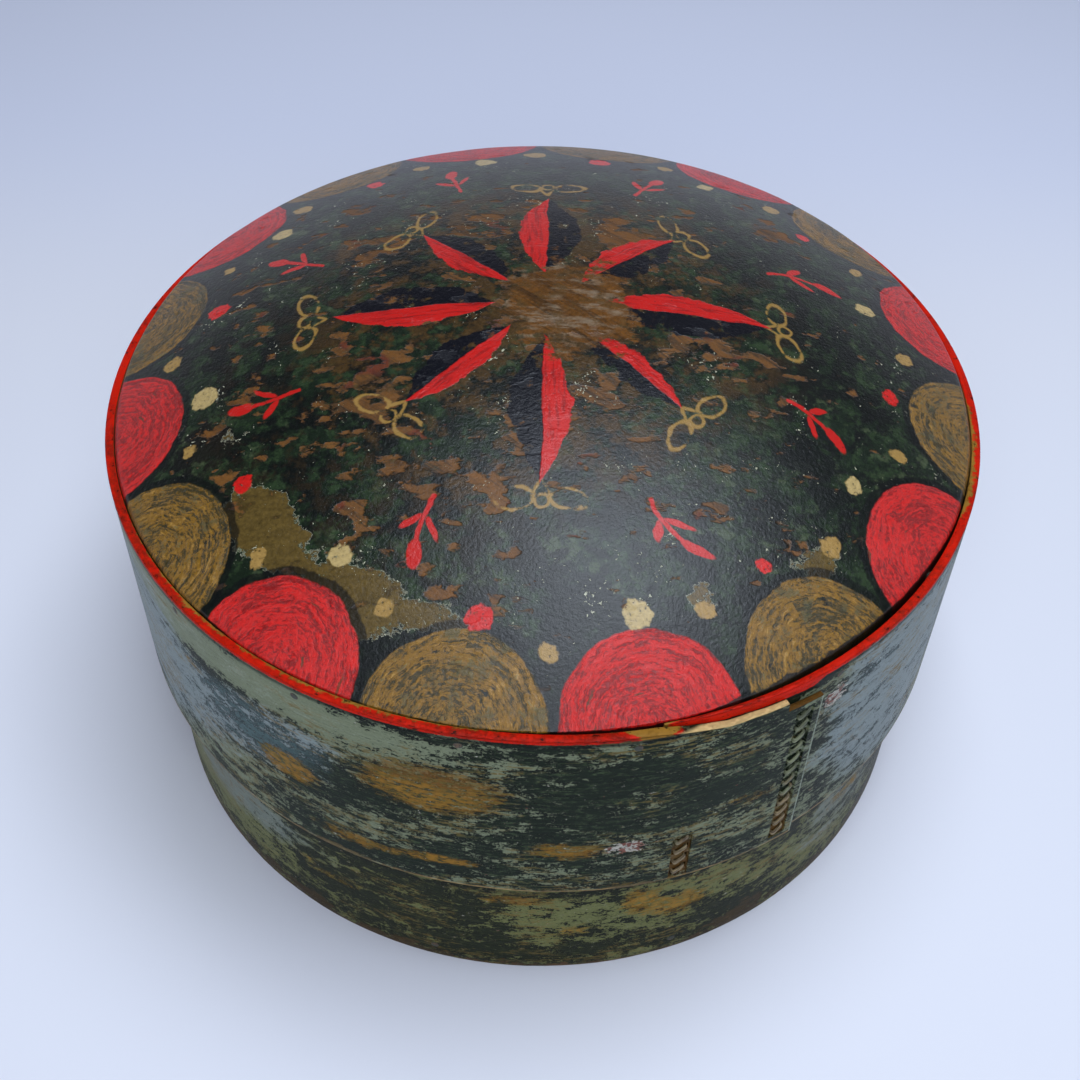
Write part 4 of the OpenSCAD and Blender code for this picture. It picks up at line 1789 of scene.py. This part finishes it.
@dataclass
class Studio:
    """Pale floor, soft overhead light and the camera of the photograph."""

    floor_colour: Colour = tint(230, 230, 237)
    far_colour: Colour = tint(222, 225, 240)
    sky: Colour = tint(220, 224, 238)
    room: Colour = tint(48, 52, 60)
    sky_from: float = 0.14
    sky_to: float = 0.38
    daylight: Colour = tint(230, 240, 255)
    floor_radius: float = 1100.0
    far_from: float = 190.0
    far_to: float = 420.0
    camera_at: tuple[float, float, float] = (0.0, -389.77, 484.52)
    pitch: float = 0.8215
    pan: float = -0.0006
    roll: float = 0.0209
    lens: float = 49.02
    sensor: float = 36.0
    aim_z: float = 0.1
    key_power: float = 14.5
    key_size: float = 0.75
    key_at: tuple[float, float, float] = (0.21, 0.02, 1.4)
    fill_power: float = 16.0
    fill_size: float = 1.1
    fill_at: tuple[float, float, float] = (0.0, -1.2, 1.2)

    def build(self) -> None:
        """Sets the floor, the lights and the camera."""
        self.floor()
        self.lights()
        self.camera()
        bpy.context.scene.view_settings.view_transform = "Standard"

    def floor(self) -> None:
        """A wide disc on the ground, paler near the box; its far part is darker and bluer, painted shade
        that stands for the upright part of the sweep.
        """
        angle = np.linspace(0, 2 * np.pi, 96, endpoint=False)
        radius = np.array([0.001, 0.3, 0.7, 1.0])[:, None] * self.floor_radius
        points = np.stack([radius * np.cos(angle), radius * np.sin(angle), 0 * radius * angle], -1)
        floor = swept_object("floor", points[None], 40, capped=False)
        graph = Graph.finish("floor_paper")
        _, y, _ = graph.parts(graph.place())
        # Painted shade: the far part of the floor is darker.
        fade = y.rise(self.far_from, self.far_to)
        colour = graph.over(fade, self.far_colour, self.floor_colour)
        shader = graph.node("ShaderNodeBsdfDiffuse", inputs={"Color": colour})
        graph.node("ShaderNodeOutputMaterial", inputs={"Surface": shader})
        floor.data.materials.append(graph.owner)

    def lights(self) -> None:
        """A sky that is pale low down and dim overhead, one soft lamp above the box and one in front."""
        world = bpy.data.worlds.new("soft_sky")
        bpy.context.scene.world = world
        graph = Graph(world)
        direction = graph.node("ShaderNodeTexCoord", output="Generated")
        _, _, upward = graph.parts(direction)
        low = 1 - upward.rise(self.sky_from, self.sky_to)
        colour = graph.over(low, self.sky, self.room)
        sky = graph.node("ShaderNodeBackground", inputs={"Color": colour, "Strength": 1.0})
        graph.node("ShaderNodeOutputWorld", inputs={"Surface": sky})
        self.lamp("overhead", self.key_power, self.key_size, self.key_at)
        self.lamp("front_fill", self.fill_power, self.fill_size, self.fill_at)

    def lamp(self, name: str, power: float, size: float, at: tuple[float, float, float]) -> None:
        """One square soft lamp aimed at the middle of the box.

        Args:
            name: Name of the lamp.
            power: Power in watts.
            size: Length of its side in metres.
            at: Its place in metres.
        """
        data = bpy.data.lights.new(name, "AREA")
        data.energy = power
        data.size = size
        data.color = self.daylight[:3]
        made = bpy.data.objects.new(name, data)
        bpy.context.scene.collection.objects.link(made)
        made.location = Vector(at)
        aim = Vector((0.0, 0.0, self.aim_z)) - made.location
        made.rotation_euler = aim.to_track_quat("-Z", "Y").to_euler()

    def camera(self) -> None:
        """The camera, from its place and its pitch, pan and roll in radians."""
        forward = Vector((np.sin(self.pan) * np.cos(self.pitch), np.cos(self.pan) * np.cos(self.pitch),
                          -np.sin(self.pitch)))
        right = Vector((np.cos(self.pan), -np.sin(self.pan), 0.0))
        up = right.cross(forward)
        tilted_right = right * np.cos(self.roll) + up * np.sin(self.roll)
        tilted_up = up * np.cos(self.roll) - right * np.sin(self.roll)
        data = bpy.data.cameras.new("view")
        data.sensor_width = self.sensor
        data.sensor_fit = "HORIZONTAL"
        data.lens = self.lens
        made = bpy.data.objects.new("view", data)
        bpy.context.scene.collection.objects.link(made)
        turned = Matrix((tilted_right, tilted_up, -forward)).transposed().to_4x4()
        turned.translation = Vector(self.camera_at) * MM
        made.matrix_world = turned
        bpy.context.scene.camera = made


def main() -> None:
    """Builds the box, the lid and the studio, in that order."""
    logging.basicConfig(level=logging.INFO, format="%(name)s: %(message)s")
    lid = lid_hoop()
    box = box_hoop()
    root = SplitRoot().dress()
    for hoop in (box, lid):
        hoop.dress(hoop.build())
    dome = Dome()
    dome.dress(dome.build())
    for lacing in (
        Lacing("box_seam_root", "box_seam_lacing", box, BOX_ROWS[0]),
        Lacing("box_tack_root", "box_tack_lacing", box, BOX_ROWS[1]),
        Lacing("lid_seam_root", "lid_seam_lacing", lid, LID_ROWS[0]),
        Lacing("lid_tack_root", "lid_tack_lacing", lid, LID_ROWS[1]),
    ):
        lacing.dress(lacing.build(), root)
    for pegs in (
        PegRing("bottom_peg_heads", "bottom_pegs", box, 11, 7.0, PegWood("bottom_peg_ends")),
        PegRing("lid_peg_heads", "lid_pegs", lid, 18, 139.0, PegWood("lid_peg_ends")),
    ):
        pegs.dress(pegs.build())
    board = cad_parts["box_bottom"]
    board.data.materials.clear()
    board.data.materials.append(BareWood("bottom_board_wood").dress())
    LOG.info("box_bottom keeps its own shape")
    Studio().build()


if __name__ == "__main__":
    main()
